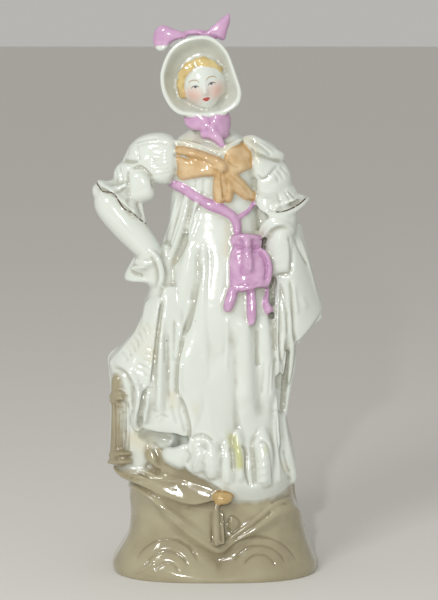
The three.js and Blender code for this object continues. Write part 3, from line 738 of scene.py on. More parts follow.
# Puffed sleeves gathered at a band, then a flared cuff
sleeves = {
    "leftCuff": ((-33.4, -0.5, 172.6), (-0.66, -0.12, -0.74), 13.6, 10.4),
    "rightCuff": ((27.6, -0.5, 172), (0.36, -0.12, -0.93), 9.8, 9.2),
    "puffs": [
        ((-26.4, 1, 183.4), (11.6, 10.6, 11.4), (0, 0, 0)),
        ((-34, 0, 174.6), (8.4, 8.4, 7.4), (0, 0, 0)),
        ((20.6, 1, 184.2), (11, 9.8, 7.8), (0, 24, 0)),
        ((25.8, 0, 175.6), (7.6, 8, 6.8), (0, 0, 0)),
    ],
    "flutes": 7,
    "pads": [
        [
            [
                (-17, -5, 192.6),
                (-21, -4, 194.6),
                (-25.5, -3, 194.8),
                (-30, -2, 193.8),
                (-34.2, -1, 191.6),
                (-37, -1, 188.6),
                (-38.6, -1, 185.2),
                (-39.6, -1, 182.4),
                (-35, -4, 180.4),
                (-29, -6, 176),
                (-24, -7, 172.4),
                (-19, -7, 173),
                (-16, -7.6, 180),
                (-16, -7, 187),
            ],
            6.6,
        ],
        [
            [
                (-40, -3, 181.8),
                (-42.2, -2, 180.4),
                (-43.8, -2, 177.4),
                (-43.6, -2, 174.4),
                (-42.2, -3, 171.6),
                (-37.6, -5, 170),
                (-35, -6, 174),
                (-32.4, -6, 180.4),
                (-36.4, -5, 181.8),
            ],
            4.6,
        ],
        [
            [
                (-36.8, -6, 178.4),
                (-33.6, -6.4, 179.8),
                (-30, -7, 178.6),
                (-27.4, -7.4, 175.6),
                (-26, -7.6, 171.4),
                (-25.4, -7.4, 168),
                (-26.8, -7, 165.4),
                (-31, -7, 164),
                (-35, -7, 164.6),
                (-37.8, -6.4, 167.4),
                (-38.2, -6, 172),
            ],
            5,
        ],
        [
            [
                (-51.4, -3, 172.4),
                (-47.6, -5, 171.4),
                (-43, -6, 170.6),
                (-38.6, -7, 171),
                (-34, -8, 168),
                (-31, -8, 163.4),
                (-30.2, -7.6, 159),
                (-29.4, -7, 155),
                (-31.6, -9, 155.8),
                (-35.4, -10.4, 159.2),
                (-38.8, -10.6, 160.6),
                (-41, -10, 163.4),
                (-43.4, -9, 167),
                (-48.4, -6, 168.6),
                (-50.4, -4, 170.6),
            ],
            2.6,
        ],
        [
            [
                (13, -6, 192.8),
                (17.6, -5, 193.8),
                (22.4, -4, 191.6),
                (27.2, -3, 188.2),
                (31.2, -2, 185.8),
                (31.6, -2, 183.8),
                (29.8, -3, 182),
                (25.6, -6, 183),
                (21.6, -8, 184.6),
                (18, -8.6, 186.6),
                (15, -8.4, 190),
            ],
            3,
        ],
        [
            [
                (18.4, -8, 185.4),
                (22, -7, 184),
                (27, -5, 182.6),
                (30.6, -3, 181.4),
                (29.6, -5, 178),
                (26.4, -7, 175.8),
                (22, -8, 173.6),
                (18.6, -8.4, 175),
                (17.6, -8.4, 180),
            ],
            4,
        ],
        [
            [
                (19.4, -7, 174.6),
                (22, -7.4, 174.2),
                (25, -7, 176.6),
                (28, -5, 180),
                (31.4, -2, 181.4),
                (33.8, -2, 178.2),
                (34.8, -2, 174),
                (34.6, -2, 169.6),
                (31, -5, 167.4),
                (25, -7, 166.4),
                (20, -7, 168),
            ],
            4.6,
        ],
        [
            [
                (20, -7, 168.6),
                (19.6, -8, 162.6),
                (22.4, -9, 159.6),
                (27, -9.6, 158),
                (32, -9, 158.2),
                (36.4, -7, 160),
                (39.6, -4, 162.4),
                (43, -1, 165.4),
                (40.6, -2, 167),
                (37, -4, 167.6),
                (34.4, -5, 169.4),
                (30, -6, 170.6),
                (25, -7, 170.6),
            ],
            2.6,
        ],
    ],
    "leftRoll": [
        (-51.6, -4, 172.6, 0.9),
        (-49.4, -6, 171.2, 1.4),
        (-46, -8, 170.2, 1.5),
        (-42, -9.4, 170, 1.5),
        (-39, -10.4, 171.2, 1.3),
        (-37.6, -10.6, 173, 0.8),
    ],
    "rightLip": [
        (23.4, -10, 159.2, 0.8),
        (27, -12, 158.6, 1),
        (31, -12, 158.6, 1.1),
        (35, -10, 160, 1.1),
        (38.6, -7, 162.2, 1),
        (42.4, -2, 165.6, 0.8),
    ],
}


def gather(x, y, z):
    return 0.025 * np.cos(np.arctan2(z, y) * 6) * (1 - x * x)


def makeCuff(start, toward, rim, length):
    rows = [
        (-1, 0),
        (length * 0.3, 6.8),
        (length * 0.78, rim * 0.78),
        (length - 0.6, rim * 0.97),
        (length + 0.5, rim),
        (length + 0.7, rim * 0.9),
        (length - 3, 6.2),
        (length - 4, 0),
    ]

    def wave(turn, reach):
        return 1 + 0.05 * soft(reach / length) * np.cos(turn * sleeves["flutes"])

    return turnedShell(rows, start, toward, swell=wave)


def makeSleeves():
    forms = [ball(*puff, relief=gather) for puff in sleeves["puffs"]]
    forms += [pad(throughPane(outline), bulge, 6) for outline, bulge in sleeves["pads"]]
    forms += [makeCuff(*sleeves[side]) for side in ("leftCuff", "rightCuff")]
    forms += [limb(throughPane(sleeves[name])) for name in ("leftRoll", "rightLip")]
    return forms


# Right forearm with the hand turned back on the hip
rightArm = {
    "forearm": [
        (-46.8, -3, 171.4, 5.8),
        (-45, -4, 164, 7.4),
        (-38.4, -6, 155.4, 7.2),
        (-31.8, -7.4, 148, 6.4),
        (-27.6, -8.6, 142.6, 5.4),
        (-26.4, -9, 138, 4.6),
    ],
    "elbow": [
        (-51.6, -2, 172.6),
        (-53.4, -2, 169.6),
        (-52.4, -2, 165.4),
        (-50, -2, 160),
        (-46, -3, 154),
        (-40, -6, 156),
        (-40.6, -8, 163),
        (-44, -7, 168.6),
        (-48.6, -5, 170),
    ],
    "hand": [
        (-29, -8, 144),
        (-34.4, -7, 140.4),
        (-37.2, -6, 136.2),
        (-39.4, -5, 131.6),
        (-38.8, -5, 129.2),
        (-35, -6, 128.6),
        (-30.6, -7.6, 128.2),
        (-28, -9, 126.6),
        (-24, -11, 125.4),
        (-22, -12, 129),
        (-22, -12, 135),
        (-23.4, -11.6, 140),
    ],
    "lowerLip": [
        (-39, -6.4, 130.6, 0.9),
        (-36, -8.6, 129.9, 1.3),
        (-32, -10.4, 129.8, 1.4),
        (-28, -12, 129.2, 1.2),
    ],
    "knuckles": [
        [(-27, -13, 141, 1.3), (-31, -12, 138.8, 1.5), (-34.4, -9.6, 137.4, 1.2)],
        [(-26.6, -13, 138, 1.3), (-31.4, -12, 135.8, 1.5), (-36.4, -8.6, 134.4, 1.1)],
    ],
    "wristRidge": [
        (-27.6, -13.6, 142.6, 1.1),
        (-24.6, -14.6, 139, 1.4),
        (-22.9, -15, 134, 1.4),
        (-22.9, -15, 129.4, 1.3),
        (-24.6, -14.4, 126, 1),
    ],
}


def makeRightArm():
    forms = [limb(rightArm["forearm"], ends=0.2)]
    forms.append(pad(throughPane(rightArm["elbow"]), 4, 5))
    forms.append(pad(throughPane(rightArm["hand"]), 3.4, 5))
    for rows in (rightArm["lowerLip"], rightArm["wristRidge"], *rightArm["knuckles"]):
        forms.append(limb(throughPane(rows)))
    return forms


# Left forearm foreshortened towards the viewer, with the mantle looped over it
leftArm = {
    "forearm": [
        (31, -1, 166, 5),
        (31, -6, 158, 6),
        (29.6, -8.4, 150, 5.6),
        (29, -9, 143, 5.2),
        (29.4, -9, 137, 4.4),
    ],
    "cloth": [
        (23, -8, 146),
        (25.8, -9, 150.2),
        (29.4, -9, 152.6),
        (33.4, -8.6, 151.8),
        (35.6, -8, 148.4),
        (35.8, -8.4, 142),
        (35.4, -9, 136.4),
        (34, -9.4, 132.4),
        (30, -9.6, 131.2),
        (25.8, -9.6, 131.4),
        (23, -9, 136),
    ],
    "loops": [
        [
            (20.6, -8, 148.4, 1.2),
            (22.4, -11, 153, 1.4),
            (25.6, -12.6, 156, 1.4),
            (29.6, -12.6, 157, 1.4),
            (33.6, -10.6, 156, 1.4),
            (37, -6, 152, 1.3),
        ],
        [
            (22.6, -11, 148.6, 0.9),
            (25, -13.4, 152.6, 1),
            (29, -14.4, 154.8, 1.1),
            (33, -12.6, 154.2, 1.1),
            (36.4, -9, 150.6, 1),
        ],
    ],
}


def makeLeftArm():
    forms = [limb(leftArm["forearm"], ends=0.2), pad(throughPane(leftArm["cloth"]), 5.4, 5, edge=0.5)]
    return forms + [limb(throughPane(rows)) for rows in leftArm["loops"]]


# The mantle's end: over the forearm to a point at the side, round behind the arm and into the back
mantle = {
    "behindArm": [
        (20, 3, 176, 4, 5),
        (22.4, 3, 166, 6, 7),
        (25.4, 3, 154, 9.4, 9),
        (28.4, 2, 140, 11, 10.6),
        (32, 1.4, 124, 11, 11),
        (33, 1.6, 106, 8, 10),
    ],
    "top": [(22, -2, 154), (31, -6, 156), (36.8, 1, 154), (30, 9, 157), (13, 5, 163)],
    "middle": [(27, -10, 130), (35, -10.5, 130), (42.6, 0, 131), (35, 13, 131), (15, 8, 136)],
    "foot": [(27, -8, 98), (36.6, -8, 103.6), (46.8, -1, 116.4), (38, 15, 107), (20, 11, 106)],
    "thickness": 5,
    "waves": (1.1, 14),
    "panel": [
        (35.6, -8.4, 150.6),
        (37.4, -6, 150),
        (39.4, -5, 145.4),
        (41.6, -4.4, 139),
        (44.2, -3.6, 130),
        (46.2, -3, 121.6),
        (48.6, -2.4, 114.6),
        (48.4, -2.6, 112),
        (45, -4, 109.2),
        (41.8, -5.6, 105.6),
        (38.2, -7.6, 100.6),
        (36.4, -9.6, 104),
        (36, -11, 113),
        (34.8, -12, 123),
        (34.6, -11.4, 133),
        (35.8, -10.2, 142),
    ],
    "hem": [
        (37, -5.4, 150.6, 0.9),
        (39.3, -5.6, 145, 1),
        (41.3, -5.2, 139, 1),
        (43.9, -4.4, 130, 1),
        (46, -3.8, 121.6, 1),
        (47.8, -3.2, 115.4, 0.9),
    ],
    "rolls": [
        [
            (28.2, -10.6, 131, 0.8),
            (28.8, -12.8, 121, 1.3),
            (28.7, -14.6, 109, 1.3),
            (29, -15.4, 97, 1.2),
            (29, -15.6, 86, 0.7),
        ],
        [
            (30.2, -10.8, 128, 0.8),
            (31, -12.6, 119, 1.4),
            (31.7, -13.4, 110, 1.6),
            (31.6, -13.8, 98, 1.4),
            (31, -13.6, 86, 0.8),
        ],
        [
            (32.8, -10.6, 131, 1),
            (33.4, -12, 122, 1.6),
            (34.7, -12.4, 112, 1.6),
            (35.1, -11.6, 102, 1.5),
            (34.8, -10, 92, 1.2),
            (33.8, -9.6, 82, 0.7),
        ],
    ],
}


def makeMantle():
    bpy.ops.object.select_all(action="DESELECT")
    count = 90
    bpy.ops.mesh.primitive_grid_add(x_subdivisions=count, y_subdivisions=count, size=2)
    cloth = bpy.context.object
    u, v = (pointsOf(cloth.data, "co")[:, :2].T + 1) / 2
    v = 1 - v
    edges = [along(mantle[name], u) for name in ("top", "middle", "foot")]
    t = v[:, None]
    curve = edges[0] * (1 - t) * (1 - 2 * t) + edges[1] * 4 * t * (1 - t) + edges[2] * t * (2 * t - 1)
    height, waves = mantle["waves"]
    curve[:, 1] += height * np.sin(u * waves) * v
    placePoints(cloth, curve)
    applyModifier(cloth, "SOLIDIFY", thickness=mantle["thickness"] * mm, offset=0)
    forms = [cloth, limb(mantle["behindArm"]), pad(throughPane(mantle["panel"]), 1.4, 3)]
    return forms + [limb(throughPane(rows)) for rows in (mantle["hem"], *mantle["rolls"])]


# Head and hair, leaned a little to the figure's right
head = {
    "middle": np.array((-4.2, -1.2, 216.6)),
    "lean": math.radians(-12),
    "skull": ((0.2, -1.4, -0.3), (10, 10.8, 11.9)),
    "locks": [
        [
            (-9.4, -6, -4.6, 1.1),
            (-9.6, -6.4, 0.6, 1.6),
            (-8.2, -7.2, 5, 1.8),
            (-5, -8, 8.2, 1.9),
            (-1.6, -8.2, 9.6, 1.5),
        ],
        [(-7.6, -7.4, 4.8, 1), (-5, -8.6, 7, 1.3), (-2, -9, 8.4, 1.1)],
        [
            (-2.4, -8.2, 9.8, 1.4),
            (1.6, -8.2, 9.8, 1.7),
            (5, -7.6, 7.8, 1.6),
            (7.4, -6.8, 5.2, 1.3),
            (8.6, -6.2, 2.6, 0.9),
        ],
        [(-1, -9, 8.6, 1), (2.4, -9, 8, 1.1), (5.2, -8.2, 6, 1)],
    ],
}


def leaned(spot):
    c, s = math.cos(head["lean"]), math.sin(head["lean"])
    x, y, z = spot
    return head["middle"] + np.array((c * x + s * z, y, c * z - s * x))


def faceRelief(x, y, z):
    # an egg with full cheeks, a small nose and chin, and soft hollows for the eyes
    front = soft(-y / 0.5)
    jaw = -0.1 * bell(np.abs(x) - 0.74, 0.3) * soft((-z - 0.35) / 0.5)
    brow = 0.02 * bell(z - 0.2, 0.14) * bell(x, 0.5)
    nose = 0.13 * bell(x, 0.11) * soft((0.2 - z) / 0.5) * soft((z + 0.44) / 0.12)
    sockets = -0.05 * bell(np.abs(x) - 0.36, 0.17) * bell(z - 0.03, 0.12)
    lids = 0.028 * bell(np.abs(x) - 0.36, 0.12) * bell(z + 0.02, 0.06)
    cheeks = 0.035 * bell(np.abs(x) - 0.48, 0.22) * bell(z + 0.36, 0.24)
    lips = 0.035 * bell(x, 0.16) * (bell(z + 0.56, 0.045) + bell(z + 0.66, 0.05))
    chin = 0.045 * bell(x, 0.26) * bell(z + 0.86, 0.16)
    return jaw + front * (brow + nose + sockets + lids + cheeks + lips + chin)


def makeHead():
    centre, radii = head["skull"]
    turn = (0, math.degrees(head["lean"]), 0)
    return [ball(leaned(centre), radii, turn, around=200, rings=150, relief=faceRelief)]


def curl(t, angle):
    # the twist of a lock of hair
    return 0.16 * np.sin(angle * 2 + t * 26)


def makeHair():
    locks = [[(*leaned(row[:3]), row[3]) for row in rows] for rows in head["locks"]]
    return [limb(rows, around=40, rings=90, relief=curl) for rows in locks]


# Poke bonnet with a wide brim, and the curtain at the nape
bonnet = {
    "start": (-5, 0.6, 219.4),
    "rim": 17.2,
    "curtain": ((-3.4, 5.4, 204), (8.4, 6.4, 6.6)),
    "outline": [
        (-5, 237.4),
        (-12, 236),
        (-17, 233),
        (-20.5, 228.5),
        (-22.9, 222),
        (-23.3, 218),
        (-22.6, 213),
        (-21, 209),
        (-18.5, 205.2),
        (-15, 202.6),
        (-10.5, 201.8),
        (-4, 201.4),
        (4, 202.4),
        (9, 204.8),
        (11.8, 207.4),
        (12.8, 211),
        (12.4, 214.4),
        (10.7, 219.6),
        (9, 224.5),
        (7, 229.5),
        (4, 233.5),
        (0, 236.4),
    ],
    "rimDepth": -10,
}


def makeBonnet():
    rim = bonnet["rim"]
    rows = [
        (-17.5, 0),
        (-16.4, 7.5),
        (-12, 12.6),
        (-6, 13.6),
        (-1, 12.4),
        (3, 13.6),
        (8, rim - 1.2),
        (10.2, rim - 0.1),
        (11.2, rim - 0.7),
        (11, rim - 1.8),
        (9, rim - 2.8),
        (6, 11.6),
        (4.6, 6),
        (4.4, 0),
    ]
    outline = throughPane([(x, bonnet["rimDepth"], z) for x, z in bonnet["outline"]])
    fromX, _, fromZ = bonnet["start"]
    edge = np.column_stack([outline[:, 0] - fromX, outline[:, 2] - fromZ])
    smooth = alongClosed(edge, np.linspace(0, 1, 200, endpoint=False))
    angles = np.arctan2(smooth[:, 1], smooth[:, 0])
    order = np.argsort(angles)
    spans = np.hypot(smooth[:, 0], smooth[:, 1])[order] / rim

    def egg(turn, reach):
        drawn = np.interp(turn, angles[order], spans, period=2 * math.pi)
        share = soft((reach + 9) / 18)
        return 1 + share * (drawn - 1)

    return [
        turnedShell(rows, bonnet["start"], (0, -1, 0), around=160, swell=egg),
        ball(*bonnet["curtain"]),
    ]


# Ribbon bows in mauve: one on the bonnet, one under the chin
bows = {
    "bonnetLoops": [
        [
            (-10.6, -5, 237),
            (-14.4, -5, 239.2),
            (-18, -5, 240.4),
            (-21.8, -4.6, 241.8),
            (-25, -4, 239.8),
            (-26.2, -4, 236),
            (-25.6, -4, 232.8),
            (-23, -4, 231.4),
            (-20.4, -4.6, 231.8),
            (-18.4, -5, 233.8),
            (-15, -5, 235.4),
        ],
        [
            (-5.4, -5, 236.6),
            (-2.4, -5, 239.4),
            (1.2, -5, 242.4),
            (4.6, -4.6, 245.4),
            (7.4, -4.4, 246.6),
            (7.6, -4.4, 243),
            (6.4, -4.6, 239.2),
            (5, -5, 235),
            (1, -5, 236),
        ],
    ],
    "bonnetBand": [(-13, -4.4, 237.8, 1.2), (-8, -4.4, 238.6, 1.4), (-3, -4.4, 238, 1.2)],
    "neckLoops": [
        [
            (-12.2, -6.4, 203),
            (-9, -7.6, 204.2),
            (-5, -8.4, 203.6),
            (-1.4, -8.8, 202),
            (-0.4, -9, 198),
            (-1.8, -9, 195.4),
            (-5, -8.4, 195.8),
            (-9, -7.8, 196),
            (-11.8, -6.8, 197.8),
            (-12.8, -6.2, 200.6),
        ],
        [
            (-1.6, -9, 201.6),
            (1.6, -9, 203.6),
            (5, -7.4, 204.4),
            (7.6, -5.6, 203),
            (8, -5, 198.6),
            (7.2, -6, 194.6),
            (5, -8, 192.4),
            (2, -9.4, 193),
            (-0.8, -9.4, 196),
        ],
    ],
    "neckTails": [
        [
            (-5.6, -9.4, 193.6, 1.2),
            (-2, -10.4, 194.2, 1.8),
            (1.6, -11, 193, 2),
            (3.6, -11.2, 190.6, 1.4),
            (4, -11.2, 188.8, 0.8),
        ],
        [(-1, -10.6, 198, 1.6), (0.4, -11, 195, 1.8), (2, -11, 192.4, 1.3)],
    ],
    "underside": [(-25.2, 232), (-23.4, 230.2), (-20.8, 230.6), (-18.4, 233.4), (-21.4, 233.2)],
}


def makeBows():
    forms = [pad(throughPane(rows), 2.8, 2.6) for rows in bows["bonnetLoops"]]
    forms += [pad(throughPane(rows), 2.8, 3) for rows in bows["neckLoops"]]
    forms += [limb(throughPane(rows)) for rows in (bows["bonnetBand"], *bows["neckTails"])]
    return forms


def makeUnderside():
    return [pad(throughPane([(x, -4.4, z) for x, z in bows["underside"]]), 2.6, 2)]


# Reticule on its ribbon, with three tassels
bag = {
    "ribbon": [
        (-20, 171.6, 1.2),
        (-17, 171.8, 2),
        (-13.5, 170.8, 2.3),
        (-9, 167.6, 2),
        (-5, 165, 1.9),
        (-1, 162.8, 2.1),
        (4, 160.8, 2),
        (8, 158.4, 1.8),
        (10.4, 155, 1.8),
        (10.8, 151, 1.6),
        (11, 148.6, 1.8),
    ],
    "strand": [
        (18, 166, 0.7),
        (17.2, 162.8, 0.8),
        (15.4, 160.2, 0.9),
        (12.6, 158.2, 1),
        (10.4, 156.6, 1),
    ],
    "collar": [
        (8.2, -13.6, 146.8),
        (8.6, -13.4, 149),
        (12, -13.4, 149.8),
        (17, -13, 149.6),
        (21, -12.6, 148.6),
        (21.8, -12.6, 146.2),
        (20.6, -13.4, 144),
        (15, -14.4, 143.2),
        (9.8, -14, 144),
    ],
    "pouch": [
        (9.4, -14.4, 144.2),
        (14.5, -14.4, 144.8),
        (20.4, -13.8, 144.2),
        (23.6, -13.4, 141.4),
        (25.6, -13.4, 138),
        (26.2, -13.8, 134),
        (25.6, -14.6, 129),
        (24.4, -15, 126.2),
        (20.6, -16, 126.6),
        (16.4, -16.8, 125.4),
        (12.4, -17, 124.4),
        (9, -16.8, 125.6),
        (7.4, -16, 128.4),
        (7.5, -15.4, 134),
        (7.7, -15, 139),
    ],
    "folds": [
        [
            (20.4, -17.4, 144, 0.8),
            (23.2, -17.6, 141, 1.2),
            (24.9, -17.4, 137, 1.3),
            (25, -17.6, 131.6, 1.3),
            (24.2, -18, 126.8, 1),
        ],
        [(15, -17.4, 149, 1.6), (15.2, -19, 145, 1.7), (15.6, -20.4, 139, 2), (15.8, -21, 133, 1.8)],
        [
            (9, -18.6, 126.6, 1),
            (12.6, -20.2, 125.6, 1.2),
            (16.6, -20.6, 126.4, 1.2),
            (20.6, -19.6, 127.4, 1.1),
            (24, -18, 127, 0.9),
        ],
        [
            (8.8, -15.4, 148.2, 0.9),
            (12.6, -17, 148.9, 1.1),
            (17, -16.8, 148.8, 1.1),
            (21, -15, 147.8, 0.9),
        ],
    ],
    "tassels": [
        [(9.4, 126.6, 1.7), (8.4, 122.6, 2), (7.2, 118.8, 1.9), (6.2, 115.6, 1.4)],
        [(17, 126.6, 1.5), (17.4, 120, 1.8), (17.5, 114, 1.8), (17.4, 109.4, 1.2)],
        [(24.4, 127, 0.8), (24.2, 123, 0.8), (23.6, 120, 1.3), (24.4, 117, 1.7), (25.2, 114.6, 1.3)],
    ],
}


def makeBag():
    forms = [limb(laidOn(dress, rows), rings=110) for rows in (bag["ribbon"], bag["strand"])]
    forms.append(pad(throughPane(bag["collar"]), 3.6, 5))
    forms.append(pad(throughPane(bag["pouch"]), 5.4, 5, edge=0.5))
    forms += [limb(throughPane(rows)) for rows in bag["folds"]]
    for rows in bag["tassels"]:
        rolls = laidOn(dress, rows)
        rolls[:, 1] -= 1.2
        forms.append(limb(rolls))
    return forms


# The toe of a slipper under the hem
slipper = {
    "rows": [(4.3, -20, 38.2, 4, 2.6), (4.3, -26, 37.2, 4.4, 2.8), (4.3, -30.4, 36, 3.8, 2.2)],
}


def makeSlipper():
    return [limb(slipper["rows"], ends=0.3, facing=(0, 0, 1))]


# Forms grouped by the paint on them, so that each paint stops where its forms meet the next
def joined(forms, name):
    bpy.ops.object.select_all(action="DESELECT")
    for form in forms:
        form.select_set(True)
    bpy.context.view_layer.objects.active = forms[0]
    if len(forms) > 1:
        bpy.ops.object.join()
    whole = bpy.context.view_layer.objects.active
    whole.name = name
    return whole


def modelFigure():
    white = makeDress() + makeTrain() + makeBodice() + makeSleeves() + makeUnderside()
    white += makeRightArm() + makeLeftArm() + makeMantle() + makeHead() + makeBonnet()
    groups = {
        "white": joined(white, "white"),
        "sand": joined(makeRock() + makePost(), "sand"),
        "mauve": joined(makeBows() + makeBag(), "mauve"),
        "ochre": joined(makeSash(), "ochre"),
        "hair": joined(makeHair(), "hair"),
        "shoe": joined(makeSlipper(), "shoe"),
    }
    print("forms modelled")
    graph = bpy.context.evaluated_depsgraph_get()
    trees = {name: BVHTree.FromObject(group, graph) for name, group in groups.items()}
    return joined(list(groups.values()), "ladyFigurine"), trees


# One casting: the forms are fused, softened as glaze softens them, and thinned
casting = {
    "voxel": 0.5,
    "quickVoxel": 1.0,
    "filling": 0.6,
    "softening": 4,
    "glazing": 1,
    "mostTriangles": 190000,
    "footing": 0.3,
}


def swell(figure, height):
    mesh = figure.data
    placePoints(figure, pointsOf(mesh, "co") / mm + pointsOf(mesh, "normal") * height)


def dropBubbles(figure):
    # the voxels can close small bubbles inside; only the skin that holds the lowest point stays
    lowest = int(np.argmin(pointsOf(figure.data, "co")[:, 2]))
    bpy.ops.object.mode_set(mode="EDIT")
    bpy.ops.mesh.select_mode(type="VERT")
    bpy.ops.mesh.select_all(action="DESELECT")
    bpy.ops.object.mode_set(mode="OBJECT")
    figure.data.vertices[lowest].select = True
    bpy.ops.object.mode_set(mode="EDIT")
    bpy.ops.mesh.select_linked()
    bpy.ops.mesh.select_all(action="INVERT")
    bpy.ops.mesh.delete(type="VERT")
    bpy.ops.object.mode_set(mode="OBJECT")


def fuse(figure):
    # Swelling and shrinking the skin again fills the gaps that slip and glaze would fill
    for height in (casting["filling"], -casting["filling"]):
        applyModifier(
            figure,
            "REMESH",
            mode="VOXEL",
            voxel_size=casting["voxel"] * mm,
        )
        swell(figure, height)
    dropBubbles(figure)
    applyModifier(figure, "SMOOTH", factor=0.5, iterations=casting["softening"])
    print("forms fused into", len(figure.data.vertices), "points")


def thin(figure):
    applyModifier(figure, "SMOOTH", factor=0.5, iterations=casting["glazing"])
    triangles = sum(len(face.vertices) - 2 for face in figure.data.polygons)
    if triangles > casting["mostTriangles"]:
        applyModifier(figure, "DECIMATE", ratio=casting["mostTriangles"] / triangles)
    points = pointsOf(figure.data, "co") / mm
    points[:, 2] = np.where(points[:, 2] < casting["footing"], 0, points[:, 2])
    placePoints(figure, points)
    bpy.ops.object.select_all(action="DESELECT")
    figure.select_set(True)
    bpy.context.view_layer.objects.active = figure
    bpy.ops.object.shade_smooth()
    print("casting has", len(figure.data.polygons), "faces")


